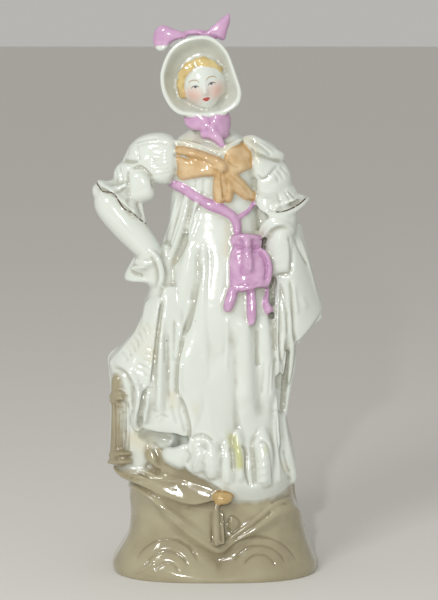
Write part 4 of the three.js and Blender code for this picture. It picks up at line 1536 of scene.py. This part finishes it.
# Fine folds chased into the casting. Their paths are drawn on an upright pane through the
# figure's middle, y = 0, as the camera sees them through it; each is (path, width, height).
folds = {
    "waist": [
        ([(-13.5, 166), (-15.5, 161), (-17.5, 155), (-19.5, 149.5), (-21.5, 146)], 0.9, 0.6),
        ([(-12, 164.5), (-14, 159), (-16, 153), (-18, 148), (-19.5, 143)], 0.8, -0.9),
        ([(-5.5, 164), (-7.5, 159), (-9.5, 153), (-11.5, 149), (-13.5, 144), (-18.6, 134.5)], 1, -1.1),
        ([(-4, 174.5), (-4.3, 170), (-5, 167)], 0.5, -0.45),
        ([(-7.6, 174), (-7.9, 170.5)], 0.45, -0.35),
    ],
    "skirt": [
        ([(-5.3, 138), (-6, 131), (-7.5, 124), (-8.7, 118), (-10, 112), (-12, 105)], 1.1, -1.1),
        ([(-9.5, 121), (-10.8, 117), (-12.7, 111), (-14.5, 106), (-16, 102)], 1, 0.6),
        ([(19.7, 108), (19.8, 98), (20.1, 90)], 0.9, -0.8),
        ([(29.5, 106), (30.2, 98), (30.6, 94), (31.6, 91)], 0.7, -1),
        ([(33, 104), (32.9, 97), (32.4, 90), (32, 84), (31.7, 77), (31, 67.5)], 0.9, -1.3),
        ([(27.6, 70.6), (29.5, 70.2), (31.2, 69.5)], 0.5, -0.7),
        ([(28.4, 70), (28.7, 63), (29.6, 57), (30.6, 52), (31.7, 46.5), (35, 37.5)], 0.9, -1.3),
        ([(32, 53), (33.4, 47), (35.2, 41.5)], 0.6, -0.8),
        ([(23, 93), (22.5, 85), (22, 78)], 0.5, -0.35),
        ([(26, 92), (25.5, 84), (25.2, 77)], 0.5, -0.35),
        ([(28, 95), (27.2, 88), (26.8, 79)], 0.5, -0.4),
        ([(6.5, 113), (6.4, 100), (6, 88)], 0.8, 0.4),
    ],
    "hem": [
        ([(-10.2, 57), (-8, 58.6), (-5, 59.2), (-2, 58), (0.5, 55.8)], 0.7, -0.8),
        ([(-8.5, 56.3), (-5, 57.2), (-2, 56), (0, 54)], 0.8, 0.45),
        ([(-7.5, 54.5), (-4, 53.8), (-1.5, 51.5)], 0.5, -0.35),
        ([(11, 54), (12, 49), (12.3, 44), (12.8, 38)], 1.5, 0.9),
        ([(13, 54.8), (14.8, 52.5), (15.3, 48), (15.1, 43), (15.8, 39), (17.2, 35)], 0.8, -1.4),
        ([(8.2, 54), (8.8, 49), (9, 43)], 0.8, -0.6),
        ([(19.8, 55.8), (22.5, 56.4), (24.8, 55), (26.2, 51), (27, 45), (27.4, 34.5)], 0.7, -1.2),
        ([(17.2, 54), (18, 47), (18.5, 40), (18.8, 36)], 1, -0.7),
        ([(22.4, 54), (22.8, 45), (23, 36)], 2.2, 0.6),
        ([(29, 50), (29.7, 43), (30, 37)], 0.9, 0.5),
        ([(-12, 53), (-10.6, 49.5), (-12, 46)], 0.6, -0.5),
        ([(-6.6, 50), (-7.4, 46.5), (-9, 44.3)], 0.6, 0.5),
        ([(-4, 47.5), (-2.4, 45.5), (-3, 42)], 0.6, 0.4),
        ([(4, 52.5), (2.5, 47), (3, 42)], 0.8, 0.4),
    ],
    "train": [
        ([(-22.3, 121), (-23.3, 114), (-24.6, 105), (-25.4, 98), (-26.4, 90), (-28, 81)], 0.8, -1.5),
        ([(-27.6, 81.2), (-30, 79.2), (-31.4, 75.5), (-32.2, 71), (-33.8, 66.8)], 0.8, -1.4),
        ([(-45, 90), (-41.5, 88.8), (-38.5, 86.2), (-36.7, 82), (-35.8, 77), (-35.7, 71)], 0.9, -1.1),
        ([(-35.7, 71), (-36.8, 66), (-36.2, 63), (-33.5, 61.3)], 0.8, -0.8),
        ([(-44, 92), (-40, 90.5), (-36.5, 86.5), (-34, 82), (-33.4, 76), (-34.8, 66.5)], 1.1, 0.7),
        ([(-19.8, 106), (-19.9, 95), (-19.8, 84), (-19.4, 75)], 0.5, -0.5),
        ([(-21.4, 105), (-21.5, 92)], 0.5, -0.35),
        ([(-17, 112), (-17.2, 101), (-17.4, 92)], 0.6, -0.7),
        ([(-23.2, 106), (-23.5, 92), (-24, 80), (-24.6, 70)], 1.2, 0.6),
        ([(-29.4, 78), (-29.2, 74), (-30.2, 69), (-30.6, 64)], 0.7, 0.6),
        ([(-13.4, 103), (-14.8, 98), (-16, 93), (-16.3, 86), (-16.4, 80), (-15.6, 77)], 0.8, -1.4),
        ([(-15.6, 77), (-13.5, 73), (-12, 68), (-10.8, 62), (-10.9, 58), (-12.2, 56)], 0.8, -1.4),
        ([(-14.2, 92), (-14.8, 86), (-14.8, 80), (-13.6, 77)], 0.8, 0.6),
        ([(-15, 74), (-14.6, 69), (-13.4, 64), (-12.6, 60)], 0.6, -0.5),
        ([(-27, 71), (-24, 69.3)], 0.5, -0.3),
        ([(-26, 67), (-22.5, 68.3), (-20, 67)], 0.5, -0.35),
        ([(-19, 73), (-17.4, 69), (-16.2, 64)], 0.6, -0.4),
    ],
    "hip": [
        ([(-36.8, 133.5), (-34, 132.2), (-31, 131.5)], 0.6, -0.9),
        ([(-36.5, 136.4), (-33.5, 136), (-30, 135.4)], 0.5, -0.5),
        ([(-34, 139), (-31, 138.6), (-28.5, 137.8)], 0.5, -0.4),
    ],
    "leftSleeve": [
        ([(-34, 190.6), (-31, 191.5), (-27.5, 192.2), (-24, 192.2)], 0.6, -0.6),
        ([(-33, 189.4), (-28, 190.5), (-23, 190.5), (-19.5, 189.8)], 0.5, -0.5),
        ([(-33.6, 190), (-33, 186), (-32.4, 182.5)], 0.6, -0.6),
        ([(-37, 188), (-37.8, 184.5)], 0.5, -0.35),
        ([(-39.5, 183), (-36.5, 182.2), (-33, 181.8)], 0.8, -1.1),
        ([(-41.6, 180), (-40.6, 177), (-40, 173.5)], 0.5, -0.7),
        ([(-42.9, 178.6), (-42.4, 175), (-42, 172.8)], 0.4, -0.4),
        ([(-39.6, 178), (-39, 174)], 0.4, -0.3),
        (
            [(-36, 178.8), (-33.5, 179.7), (-31, 179.3), (-28.3, 176.8), (-26.8, 173.5), (-26.4, 170)],
            0.6,
            -0.8,
        ),
        ([(-37.3, 178), (-37.8, 174.5), (-37.2, 171.2)], 0.7, -0.7),
        ([(-35, 177), (-32, 177.8), (-29.6, 176.2), (-28.2, 173.5)], 0.45, -0.35),
        ([(-37.5, 166), (-36.8, 163), (-35.2, 160)], 1, -0.6),
        ([(-33.5, 164), (-32.5, 161), (-31, 157.5)], 0.6, -0.6),
        ([(-49.5, 170), (-46.5, 168.7), (-43, 168.6), (-40, 169.3), (-38, 170.8)], 0.6, -0.7),
        ([(-51, 172.6), (-47.5, 171), (-43.5, 170.3), (-40, 171)], 0.8, 0.5),
    ],
    "rightSleeve": [
        ([(16.5, 192), (20, 189.8), (23.5, 187), (26, 184.3)], 0.5, -0.7),
        ([(19, 191.9), (24, 189.3), (28, 186.2)], 0.5, -0.45),
        ([(18.5, 185.8), (22, 184.6), (26, 183.3), (30.5, 182)], 0.7, -1),
        ([(19, 176.5), (21.5, 174.2), (24, 175), (26.5, 178), (29, 180.5)], 0.7, -0.8),
        ([(26.5, 177.5), (28, 175.5), (29.2, 173)], 0.45, -0.45),
        ([(28.3, 178.6), (30, 176.5), (31.4, 174)], 0.45, -0.45),
        ([(29.8, 179.8), (31.8, 178), (33.6, 176)], 0.45, -0.4),
        ([(31.5, 169), (33.5, 165.8), (35, 163)], 0.45, -0.6),
        ([(33, 169.2), (36, 166.4), (38.2, 164.4)], 0.45, -0.6),
        ([(28, 168), (29.5, 164.5), (30, 161.5)], 0.5, -0.4),
    ],
    "bodice": [
        ([(-15, 192), (-9, 190.3), (-4, 188.3), (0, 186.6), (3, 185.5)], 0.6, -0.6),
        ([(4.5, 187), (7.5, 190), (11, 191.8)], 0.5, -0.4),
    ],
    "sash": [
        ([(-18, 187), (-12, 185.9), (-6, 184.7), (0, 182.4)], 0.9, 0.6),
        ([(-17.5, 185), (-10, 183.8), (-4, 182.2), (1, 180)], 0.5, -0.5),
        ([(-2, 180), (0.5, 178.5), (2, 178)], 0.5, -0.4),
        ([(3.4, 177), (4.3, 171), (4.8, 165.5)], 0.5, -0.7),
        ([(1.8, 176), (1.9, 169.5), (2.4, 165.5)], 0.4, -0.35),
        ([(6.2, 174.5), (6.6, 168)], 0.4, -0.35),
        ([(7, 176.4), (11, 173.4), (15, 169.4), (17.2, 166.5)], 0.5, -0.7),
        ([(6.3, 184.5), (7.8, 181.5), (9.5, 180), (12.5, 179.4)], 0.6, -0.6),
        ([(17, 188.4), (17.6, 185), (16.4, 181.4)], 0.6, -0.4),
    ],
    "bag": [
        ([(9, 145.3), (14, 143.9), (20.5, 144.6)], 0.6, -0.8),
        ([(9.5, 141.5), (14.5, 142), (19.5, 141.8)], 0.5, -0.35),
        ([(20.3, 142.5), (23, 138.5), (23.8, 134), (23.2, 129)], 0.7, -0.9),
        ([(15.8, 139), (16.2, 136), (15.6, 133)], 0.7, -0.5),
        ([(11.5, 139), (11, 134), (11.8, 129.5)], 0.6, 0.35),
        ([(10.5, 126.6), (14, 127.6), (18, 127.4), (21, 128.6)], 0.5, -0.5),
    ],
    "mantle": [
        ([(33.4, 149), (34.6, 146), (35.1, 140), (34.8, 135), (33.5, 132.4), (27, 131.3)], 0.8, -1),
        ([(36.4, 148), (38.4, 143), (40.4, 139.2), (42.3, 135.8)], 0.6, -0.8),
        ([(27.4, 131), (27.8, 121), (27.5, 109), (28, 97)], 0.7, -1),
        ([(29.4, 128.5), (30.1, 123), (29.9, 110), (30.2, 99)], 0.6, -0.7),
        ([(30.4, 127), (31.7, 120), (33, 112.5), (33.3, 104)], 0.6, -0.7),
        ([(34.2, 130), (35, 122), (36, 113), (36.4, 106), (37.2, 101)], 0.8, -1.3),
        ([(35.9, 127), (36.6, 121), (37.6, 114)], 0.8, 0.6),
        ([(39.5, 122), (41.6, 117)], 1, 0.35),
    ],
    "rock": [
        ([(-40, 36.6), (-35, 35), (-28, 30), (-23, 26), (-17, 22), (-11, 17)], 0.8, 0.8),
        ([(-39, 42), (-33, 41.2), (-27, 39), (-20, 37.2), (-14, 36.8)], 0.8, -0.7),
        ([(-38, 43.8), (-32, 42.8), (-26, 40.4)], 0.7, 0.6),
        ([(-30.5, 45.6), (-27, 44), (-24, 42)], 1.3, -1.1),
        ([(-28.5, 53), (-27, 50), (-26, 47)], 1.2, 0.7),
        ([(4.5, 9), (10, 13), (18, 19), (25, 25), (30, 28.5), (36, 30.5)], 0.8, 0.7),
        ([(9, 10.5), (16, 15.5), (22, 20.5), (27, 24.5)], 0.9, -0.6),
        ([(26, 27.6), (30, 30), (35, 31.4)], 0.6, -0.6),
        ([(5.8, 17), (8.3, 21.8), (12, 18.8), (9.2, 14.2), (5.8, 17)], 0.5, -0.7),
        ([(8, 20), (8.8, 16.5)], 0.7, 0.5),
        ([(3.5, 24), (3.5, 14), (4.2, 9)], 0.4, -0.7),
        ([(-0.6, 24), (-0.6, 15), (0.2, 9)], 0.5, -0.6),
        ([(-35.5, -4.6), (-31, -2.6), (-27, 0.2)], 0.7, 0.8),
        ([(-36, 33), (-36.8, 28), (-36.2, 20)], 1.4, -0.5),
    ],
}
ripples = {
    "hemPleat": [([(19.6, z - 0.8), (22, z), (24.6, z + 0.5)], 0.55, 0.35) for z in (48.4, 44.8, 41.4, 38)],
    "postFlutes": [([(x, 74.5), (x + 0.1, 62), (x, 51.5)], 0.4, -0.8) for x in np.linspace(-44, -38, 6)],
    "trainTicks": [
        (
            [
                (-41.6 + 1.9 * k, 97.4 + 2.2 * k),
                (-39.4 + 1.75 * k, 95.6 + 2.1 * k),
                (-38 + 1.6 * k, 93 + 2 * k),
            ],
            0.5,
            -0.35,
        )
        for k in range(7)
    ],
    "trainWrinkles": [
        (
            [
                (-34.5 + 1.2 * k, 89 + 2.6 * k),
                (-31.4 + k, 87.8 + 2.6 * k),
                (-29 + 0.8 * k, 85.4 + 2.7 * k),
            ],
            0.55,
            -0.35,
        )
        for k in range(5)
    ],
    "armpitGathers": [
        ([(-18.2, 187 - 1.9 * k), (-21.5, 186.4 - 2 * k), (-26.5 - 0.3 * k, 187.6 - 2.4 * k)], 0.5, -0.24)
        for k in range(6)
    ],
    "rightArcs": [
        (
            [
                (21 + (8 + 5 * k) * math.cos(a), -5 + (9 + 4 * k) * math.sin(a))
                for a in np.linspace(0.35, 2.7, 7)
            ],
            0.6,
            -0.6,
        )
        for k in range(3)
    ],
    "leftArcs": [
        (
            [
                (-21 + (6 + 5 * k) * math.cos(a), -7 + (7 + 5.5 * k) * math.sin(a))
                for a in np.linspace(0.4, 2.7, 7)
            ],
            0.7,
            -0.6,
        )
        for k in range(3)
    ],
}


def onPane(points):
    # where points in millimetres fall on the pane y = 0, seen by the camera
    eye = np.array(bpy.context.scene.camera.location) / mm
    share = -eye[1] / (points[:, 1] - eye[1])
    return eye[0] + (points[:, 0] - eye[0]) * share, eye[2] + (points[:, 2] - eye[2]) * share


def chase(figure):
    mesh = figure.data
    points, normals = pointsOf(mesh, "co") / mm, pointsOf(mesh, "normal")
    across, up = onPane(points)
    facing = soft((0.1 - normals[:, 1]) / 0.4)
    seen = facing > 0
    strokes = [stroke for group in (folds, ripples) for part in group.values() for stroke in part]
    lift = np.zeros(len(points))
    lift[seen] = carved(strokes, across[seen], up[seen])
    placePoints(figure, points + normals * (lift * facing)[:, None])
    print("folds chased:", len(strokes))


# Fields kept on the points for the paints: how far each point lies from a paint's edge, how deep
# in a crease it is (where painted shade goes), and how thick the airbrushed tints are
airbrush = {
    "cream": [
        ([(-17, 191), (-9, 189.4), (-2, 187.4), (4, 187), (10, 191)], 2.2, 0.8),
        ([(-13, 194), (-9, 193), (-4, 191)], 2.6, 0.5),
        ([(13, 193), (17, 190.5), (19.4, 186), (19, 180)], 1.8, 0.6),
        ([(19, 158), (20.5, 150), (21.5, 143)], 2.4, 0.6),
        ([(6.6, 156), (6, 147), (5.6, 139)], 1.6, 0.55),
        ([(-28, 110), (-31, 102), (-35, 96)], 6, 0.5),
        ([(-27, 100), (-27.4, 92)], 2, 0.6),
        ([(-19, 80), (-17.6, 71)], 2.4, 0.5),
        ([(-7.6, 74), (-8.4, 67)], 1.8, 0.4),
        ([(-16.6, 140), (-17.6, 136)], 1.2, 0.5),
        ([(-38, 60), (-33, 56), (-27, 53)], 4, 0.6),
        ([(31, 47), (33.4, 42)], 1.6, 0.6),
    ],
    "stain": [
        ([(8, 60), (9, 56.5), (11, 52), (12, 47), (12, 43)], 2, 1.2),
        ([(23.4, 54), (24, 50)], 1, 0.5),
    ],
}
rims = {
    "leftRim": [
        (-51.6, 173.4),
        (-50.2, 171),
        (-48.5, 169),
        (-45, 168.4),
        (-43, 167),
        (-41.5, 164.5),
        (-40, 162.2),
        (-38.5, 160.8),
        (-35.5, 159.3),
        (-33.5, 157.6),
        (-31.6, 156),
        (-29.4, 154.6),
    ],
    "rightRim": [(28, 159.7), (32, 160.3), (35, 161.5), (38, 163.2), (41.4, 166.2)],
}


def storeField(mesh, name, values):
    layer = mesh.attributes.new(name, "FLOAT", "POINT")
    layer.data.foreach_set("value", values.astype(np.float32))


def hollows(mesh, points):
    # how far each point lies below the mean of its neighbours, spread a little; above 0 in a crease
    ends = np.empty(len(mesh.edges) * 2, int)
    mesh.edges.foreach_get("vertices", ends)
    a, b = ends.reshape(-1, 2).T
    count = np.maximum(np.bincount(ends, minlength=len(points)), 1)

    def meanOfNeighbours(values):
        total = np.bincount(a, values[b], len(points)) + np.bincount(b, values[a], len(points))
        return total / count

    softened = points.copy()
    for _ in range(6):
        softened = np.column_stack([meanOfNeighbours(softened[:, k]) for k in range(3)])
    deep = np.sum((softened - points) * pointsOf(mesh, "normal"), axis=1)
    for _ in range(2):
        deep = (deep + meanOfNeighbours(deep)) / 2
    return deep


def offRim(across, up, path):
    # signed distance from a rim's line, counted as far off beyond the line's ends
    line = along(path, np.linspace(0, 1, 5 * len(path)))
    nearest = np.full_like(across, 4.0)
    for k in range(len(line) - 1):
        (ax, az), (bx, bz) = line[k], line[k + 1]
        span = math.hypot(bx - ax, bz - az)
        run = ((across - ax) * (bx - ax) + (up - az) * (bz - az)) / span
        off = ((across - ax) * (bz - az) - (up - az) * (bx - ax)) / span
        beside = (run > -0.2) & (run < span + 0.2) & (np.abs(off) < np.abs(nearest))
        nearest = np.where(beside, off, nearest)
    return nearest


def paintFields(figure, trees):
    reach = 3.0
    mesh = figure.data
    points, normals = pointsOf(mesh, "co"), pointsOf(mesh, "normal")
    gaps = {name: np.full(len(points), reach) for name in trees}
    for k, spot in enumerate(points):
        for name, tree in trees.items():
            gap = tree.find_nearest(spot, reach * mm)[3]
            if gap is not None:
                gaps[name][k] = gap / mm
    for name in trees:
        if name != "white":
            others = np.minimum.reduce([gaps[other] for other in trees if other != name])
            storeField(mesh, name, gaps[name] - others)
    points = points / mm
    across, up = onPane(points)
    seen = normals[:, 1] < 0.3
    for name, path in rims.items():
        storeField(mesh, name, np.where(seen, offRim(across, up, path), 4))
    for name, strokes in airbrush.items():
        storeField(mesh, name, np.where(seen, np.clip(carved(strokes, across, up), 0, 1), 0))
    # crease depth, which sets where the painted shade goes
    storeField(mesh, "creaseShade", hollows(mesh, points))


def linear(code):
    # an sRGB hex colour as the shader's linear one
    parts = [int(code[i:i + 2], 16) / 255 for i in (1, 3, 5)]
    return (*[c / 12.92 if c <= 0.04045 else ((c + 0.055) / 1.055) ** 2.4 for c in parts], 1)


def addNode(tree, kind, settings, inputs, out=0):
    # a node with its settings, its inputs linked or set, and one of its outputs given back
    node = tree.nodes.new(kind)
    for key, value in settings.items():
        setattr(node, key, value)
    for key, value in inputs.items():
        if isinstance(value, bpy.types.NodeSocket):
            tree.links.new(value, node.inputs[key])
        else:
            node.inputs[key].default_value = value
    return node.outputs[out]


# Glazed porcelain: a cool white body under a thick clear gloss glaze, so it gives the eye small
# sharp highlights; the creases get a painted shade, warmer and duller, partly from glaze and dust gathered
# there
glaze = {
    "white": ("#e2e7e0", "#d6dcd4"),
    # painted shade for the creases, partly glaze and dust gathered there
    "creaseShade": "#98947f",
    "cream": "#d6ceae",
    "stain": "#c9cc98",
    "rim": "#4a3018",
    "speck": "#3a2f28",
    # light and dark tone, softness of the edge in millimetres, and whether its blotches are broad; the dark
    # tone lies in blotches and, as painted shade, in the creases
    "paints": {
        "sand": ("#b3ab8e", "#8b8166", 1.0, True),
        "ochre": ("#dcc197", "#c09a64", 0.28, False),
        "mauve": ("#d6afd0", "#bb8cb4", 0.28, False),
        "hair": ("#dcc88e", "#b99a58", 0.28, False),
        "shoe": ("#c9ad76", "#9c7840", 0.28, False),
    },
    # scale and detail: brush strokes 4.5 mm across, blotches 22 mm, wear on a rim 2 mm, and the
    # glaze's own unevenness 3 mm from crest to crest
    "noises": [(220, 3), (45, 3), (520, 3), (330, 1)],
    "speckScale": 55,  # one speck in each 18 mm
    "rippleHeight": 0.06 * mm,
    "roughness": 0.12,
    "coat": 0.6,
    "coatRoughness": 0.04,
}
# Painted face: each daub's place from the head's middle and half sizes in millimetres, and its turn
# in degrees; an arc is what a daub leaves when the same daub a little lower is taken away
face = {
    "arc": 0.4,
    "daubs": {
        "rouge": [((-4.9, -9, -4.2), (3.6, 5, 3), 10), ((4.9, -9, -4.2), (3.6, 5, 3), -10)],
        "lips": [
            ((-0.72, -11, -6.7), (0.95, 3, 0.5), -14),
            ((0.72, -11, -6.7), (0.95, 3, 0.5), 14),
            ((0, -11, -7.3), (1, 3, 0.55), 0),
        ],
        "brows": [((-3.7, -10, 1.1), (2.3, 4, 1.35), 6), ((3.7, -10, 1.1), (2.3, 4, 1.35), -6)],
        "lids": [((-3.6, -10, -1.1), (1.75, 4, 1), 4), ((3.6, -10, -1.1), (1.75, 4, 1), -4)],
        "irises": [((-3.5, -10, -0.75), (0.62, 4, 0.62), 0), ((3.5, -10, -0.75), (0.62, 4, 0.62), 0)],
    },
    # colour, softness of the edge, strength, and whether it is an arc
    "paints": {
        "rouge": ("#dd9a86", 0.75, 0.62, False),
        "lips": ("#b5483e", 0.14, 1, False),
        "brows": ("#a98a58", 0.14, 1, True),
        "lids": ("#5b463e", 0.14, 1, True),
        "irises": ("#56606a", 0.14, 1, False),
    },
}


def faceLayers(tree, coords):
    layers = []
    for name, (shade, blur, strength, arc) in face["paints"].items():
        for (x, y, z), sizes, turn in face["daubs"][name]:
            masks = []
            for drop in (0, face["arc"]) if arc else (0,):
                inputs = {
                    "Vector": coords,
                    "Location": leaned((x, y, z - drop)) * mm,
                    "Rotation": (0, head["lean"] + math.radians(turn), 0),
                    "Scale": [size * mm for size in sizes],
                }
                place = addNode(tree, "ShaderNodeMapping", {"vector_type": "TEXTURE"}, inputs)
                far = addNode(tree, "ShaderNodeVectorMath", {"operation": "LENGTH"}, {0: place}, "Value")
                inputs = {"Value": far, "From Min": 1 + blur, "From Max": 1 - blur, "To Max": strength}
                masks.append(addNode(tree, "ShaderNodeMapRange", {}, inputs))
            share = masks[0]
            if arc:
                left = addNode(tree, "ShaderNodeMath", {"operation": "SUBTRACT"}, {0: 1.0, 1: masks[1]})
                share = addNode(tree, "ShaderNodeMath", {"operation": "MULTIPLY"}, {0: share, 1: left})
            layers.append((share, linear(shade)))
    return layers


def glazedPorcelain():
    material = bpy.data.materials.new("glazedPorcelain")
    material.use_nodes = True
    tree = material.node_tree
    shader = tree.nodes["Principled BSDF"]
    coords = addNode(tree, "ShaderNodeTexCoord", {}, {}, "Object")
    brush, mottle, wear, ripple = (
        addNode(tree, "ShaderNodeTexNoise", {}, {"Vector": coords, "Scale": scale, "Detail": detail}, "Fac")
        for scale, detail in glaze["noises"]
    )
    fields = {
        name: addNode(tree, "ShaderNodeAttribute", {"attribute_name": name}, {}, "Fac")
        for name in ("creaseShade", *airbrush, *rims, *glaze["paints"])
    }
    uneven = addNode(tree, "ShaderNodeMath", {"operation": "SUBTRACT"}, {0: brush, 1: 0.5})
    patchy = addNode(tree, "ShaderNodeMapRange", {}, {"Value": mottle, "From Min": 0.25, "From Max": 0.6})
    # share of the painted crease shade, from how deep each point lies in a crease
    inputs = {"Value": fields["creaseShade"], "From Min": 0.02, "From Max": 0.3, "To Max": 0.55}
    creaseShade = addNode(tree, "ShaderNodeMapRange", {}, inputs)
    airy = addNode(tree, "ShaderNodeMath", {"operation": "MULTIPLY"}, {0: fields["cream"], 1: patchy})

    # share and colour of each layer, from the glaze up
    layers = [
        (mottle, linear(glaze["white"][1])),
        (airy, linear(glaze["cream"])),
        (fields["stain"], linear(glaze["stain"])),
        (creaseShade, linear(glaze["creaseShade"])),
    ]
    for name, (light, dark, edge, blotches) in glaze["paints"].items():
        wander = addNode(tree, "ShaderNodeMath", {"operation": "MULTIPLY"}, {0: uneven, 1: edge * 1.6})
        rim = addNode(tree, "ShaderNodeMath", {"operation": "ADD"}, {0: fields[name], 1: wander})
        share = addNode(tree, "ShaderNodeMapRange", {}, {"Value": rim, "From Min": edge, "From Max": -edge})
        blotch = mottle if blotches else brush
        # the dark tone goes where blotches fall and, as painted shade, into the creases
        deep = addNode(tree, "ShaderNodeMath", {"operation": "ADD"}, {0: blotch, 1: creaseShade})
        deep = addNode(tree, "ShaderNodeMapRange", {}, {"Value": deep, "From Min": 0.3, "From Max": 0.85})
        inputs = {0: deep, 6: linear(light), 7: linear(dark)}
        layers.append((share, addNode(tree, "ShaderNodeMix", {"data_type": "RGBA"}, inputs, 2)))
    gaps = addNode(tree, "ShaderNodeMapRange", {}, {"Value": wear, "From Min": 0.36, "From Max": 0.5})
    for name in rims:
        off = addNode(tree, "ShaderNodeMath", {"operation": "ABSOLUTE"}, {0: fields[name]})
        line = addNode(tree, "ShaderNodeMapRange", {}, {"Value": off, "From Min": 0.42, "From Max": 0.2})
        worn = addNode(tree, "ShaderNodeMath", {"operation": "MULTIPLY"}, {0: line, 1: gaps})
        layers.append((worn, linear(glaze["rim"])))
    layers += faceLayers(tree, coords)
    inputs = {"Vector": coords, "Scale": glaze["speckScale"]}
    cell = addNode(tree, "ShaderNodeTexVoronoi", {}, inputs, "Distance")
    speck = addNode(tree, "ShaderNodeMapRange", {}, {"Value": cell, "From Min": 0.02, "From Max": 0.012})
    layers.append((speck, linear(glaze["speck"])))

    colour = linear(glaze["white"][0])
    for share, tone in layers:
        inputs = {0: share, 6: colour, 7: tone}
        colour = addNode(tree, "ShaderNodeMix", {"data_type": "RGBA"}, inputs, 2)
    tree.links.new(colour, shader.inputs["Base Color"])
    inputs = {"Strength": 1, "Distance": glaze["rippleHeight"], "Height": ripple}
    tree.links.new(addNode(tree, "ShaderNodeBump", {}, inputs), shader.inputs["Normal"])
    shader.inputs["Roughness"].default_value = glaze["roughness"]
    shader.inputs["Coat Weight"].default_value = glaze["coat"]
    shader.inputs["Coat Roughness"].default_value = glaze["coatRoughness"]
    return material


# Plain pale floor and soft light
studio = {
    "floor": "#e6e4df",
    "world": "#c4c3bf",
    "strength": 0.85,
    "key": ((-0.5, -0.8, 0.75), 0.3, 3.4),
    "flash": ((-0.10, -0.86, 0.36), 0.03, 2.6),
}


def makeStudio():
    bpy.ops.object.select_all(action="DESELECT")
    bpy.ops.mesh.primitive_plane_add(size=60)
    floor = bpy.context.object
    floor.name = "floor"
    paper = bpy.data.materials.new("paleFloor")
    paper.use_nodes = True
    surface = paper.node_tree.nodes["Principled BSDF"]
    surface.inputs["Base Color"].default_value = linear(studio["floor"])
    surface.inputs["Roughness"].default_value = 0.9
    surface.inputs["Specular IOR Level"].default_value = 0.1
    floor.data.materials.append(paper)
    for name in ("key", "flash"):
        place, size, power = studio[name]
        bpy.ops.object.light_add(type="AREA", location=place)
        light = bpy.context.object
        light.data.size = size
        light.data.energy = power
        toward = Vector(shot["aim"]) * mm - Vector(place)
        light.rotation_euler = toward.to_track_quat("-Z", "Y").to_euler()
    world = bpy.context.scene.world or bpy.data.worlds.new("studio")
    bpy.context.scene.world = world
    world.use_nodes = True
    background = world.node_tree.nodes["Background"]
    background.inputs["Color"].default_value = linear(studio["world"])
    background.inputs["Strength"].default_value = studio["strength"]
    bpy.context.scene.view_settings.view_transform = "Standard"


figure, trees = modelFigure()
fuse(figure)
chase(figure)
thin(figure)
paintFields(figure, trees)
print("paint laid out")
figure.data.materials.clear()
figure.data.materials.append(glazedPorcelain())
makeStudio()

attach(figure, "root")
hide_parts("lady_figurine")
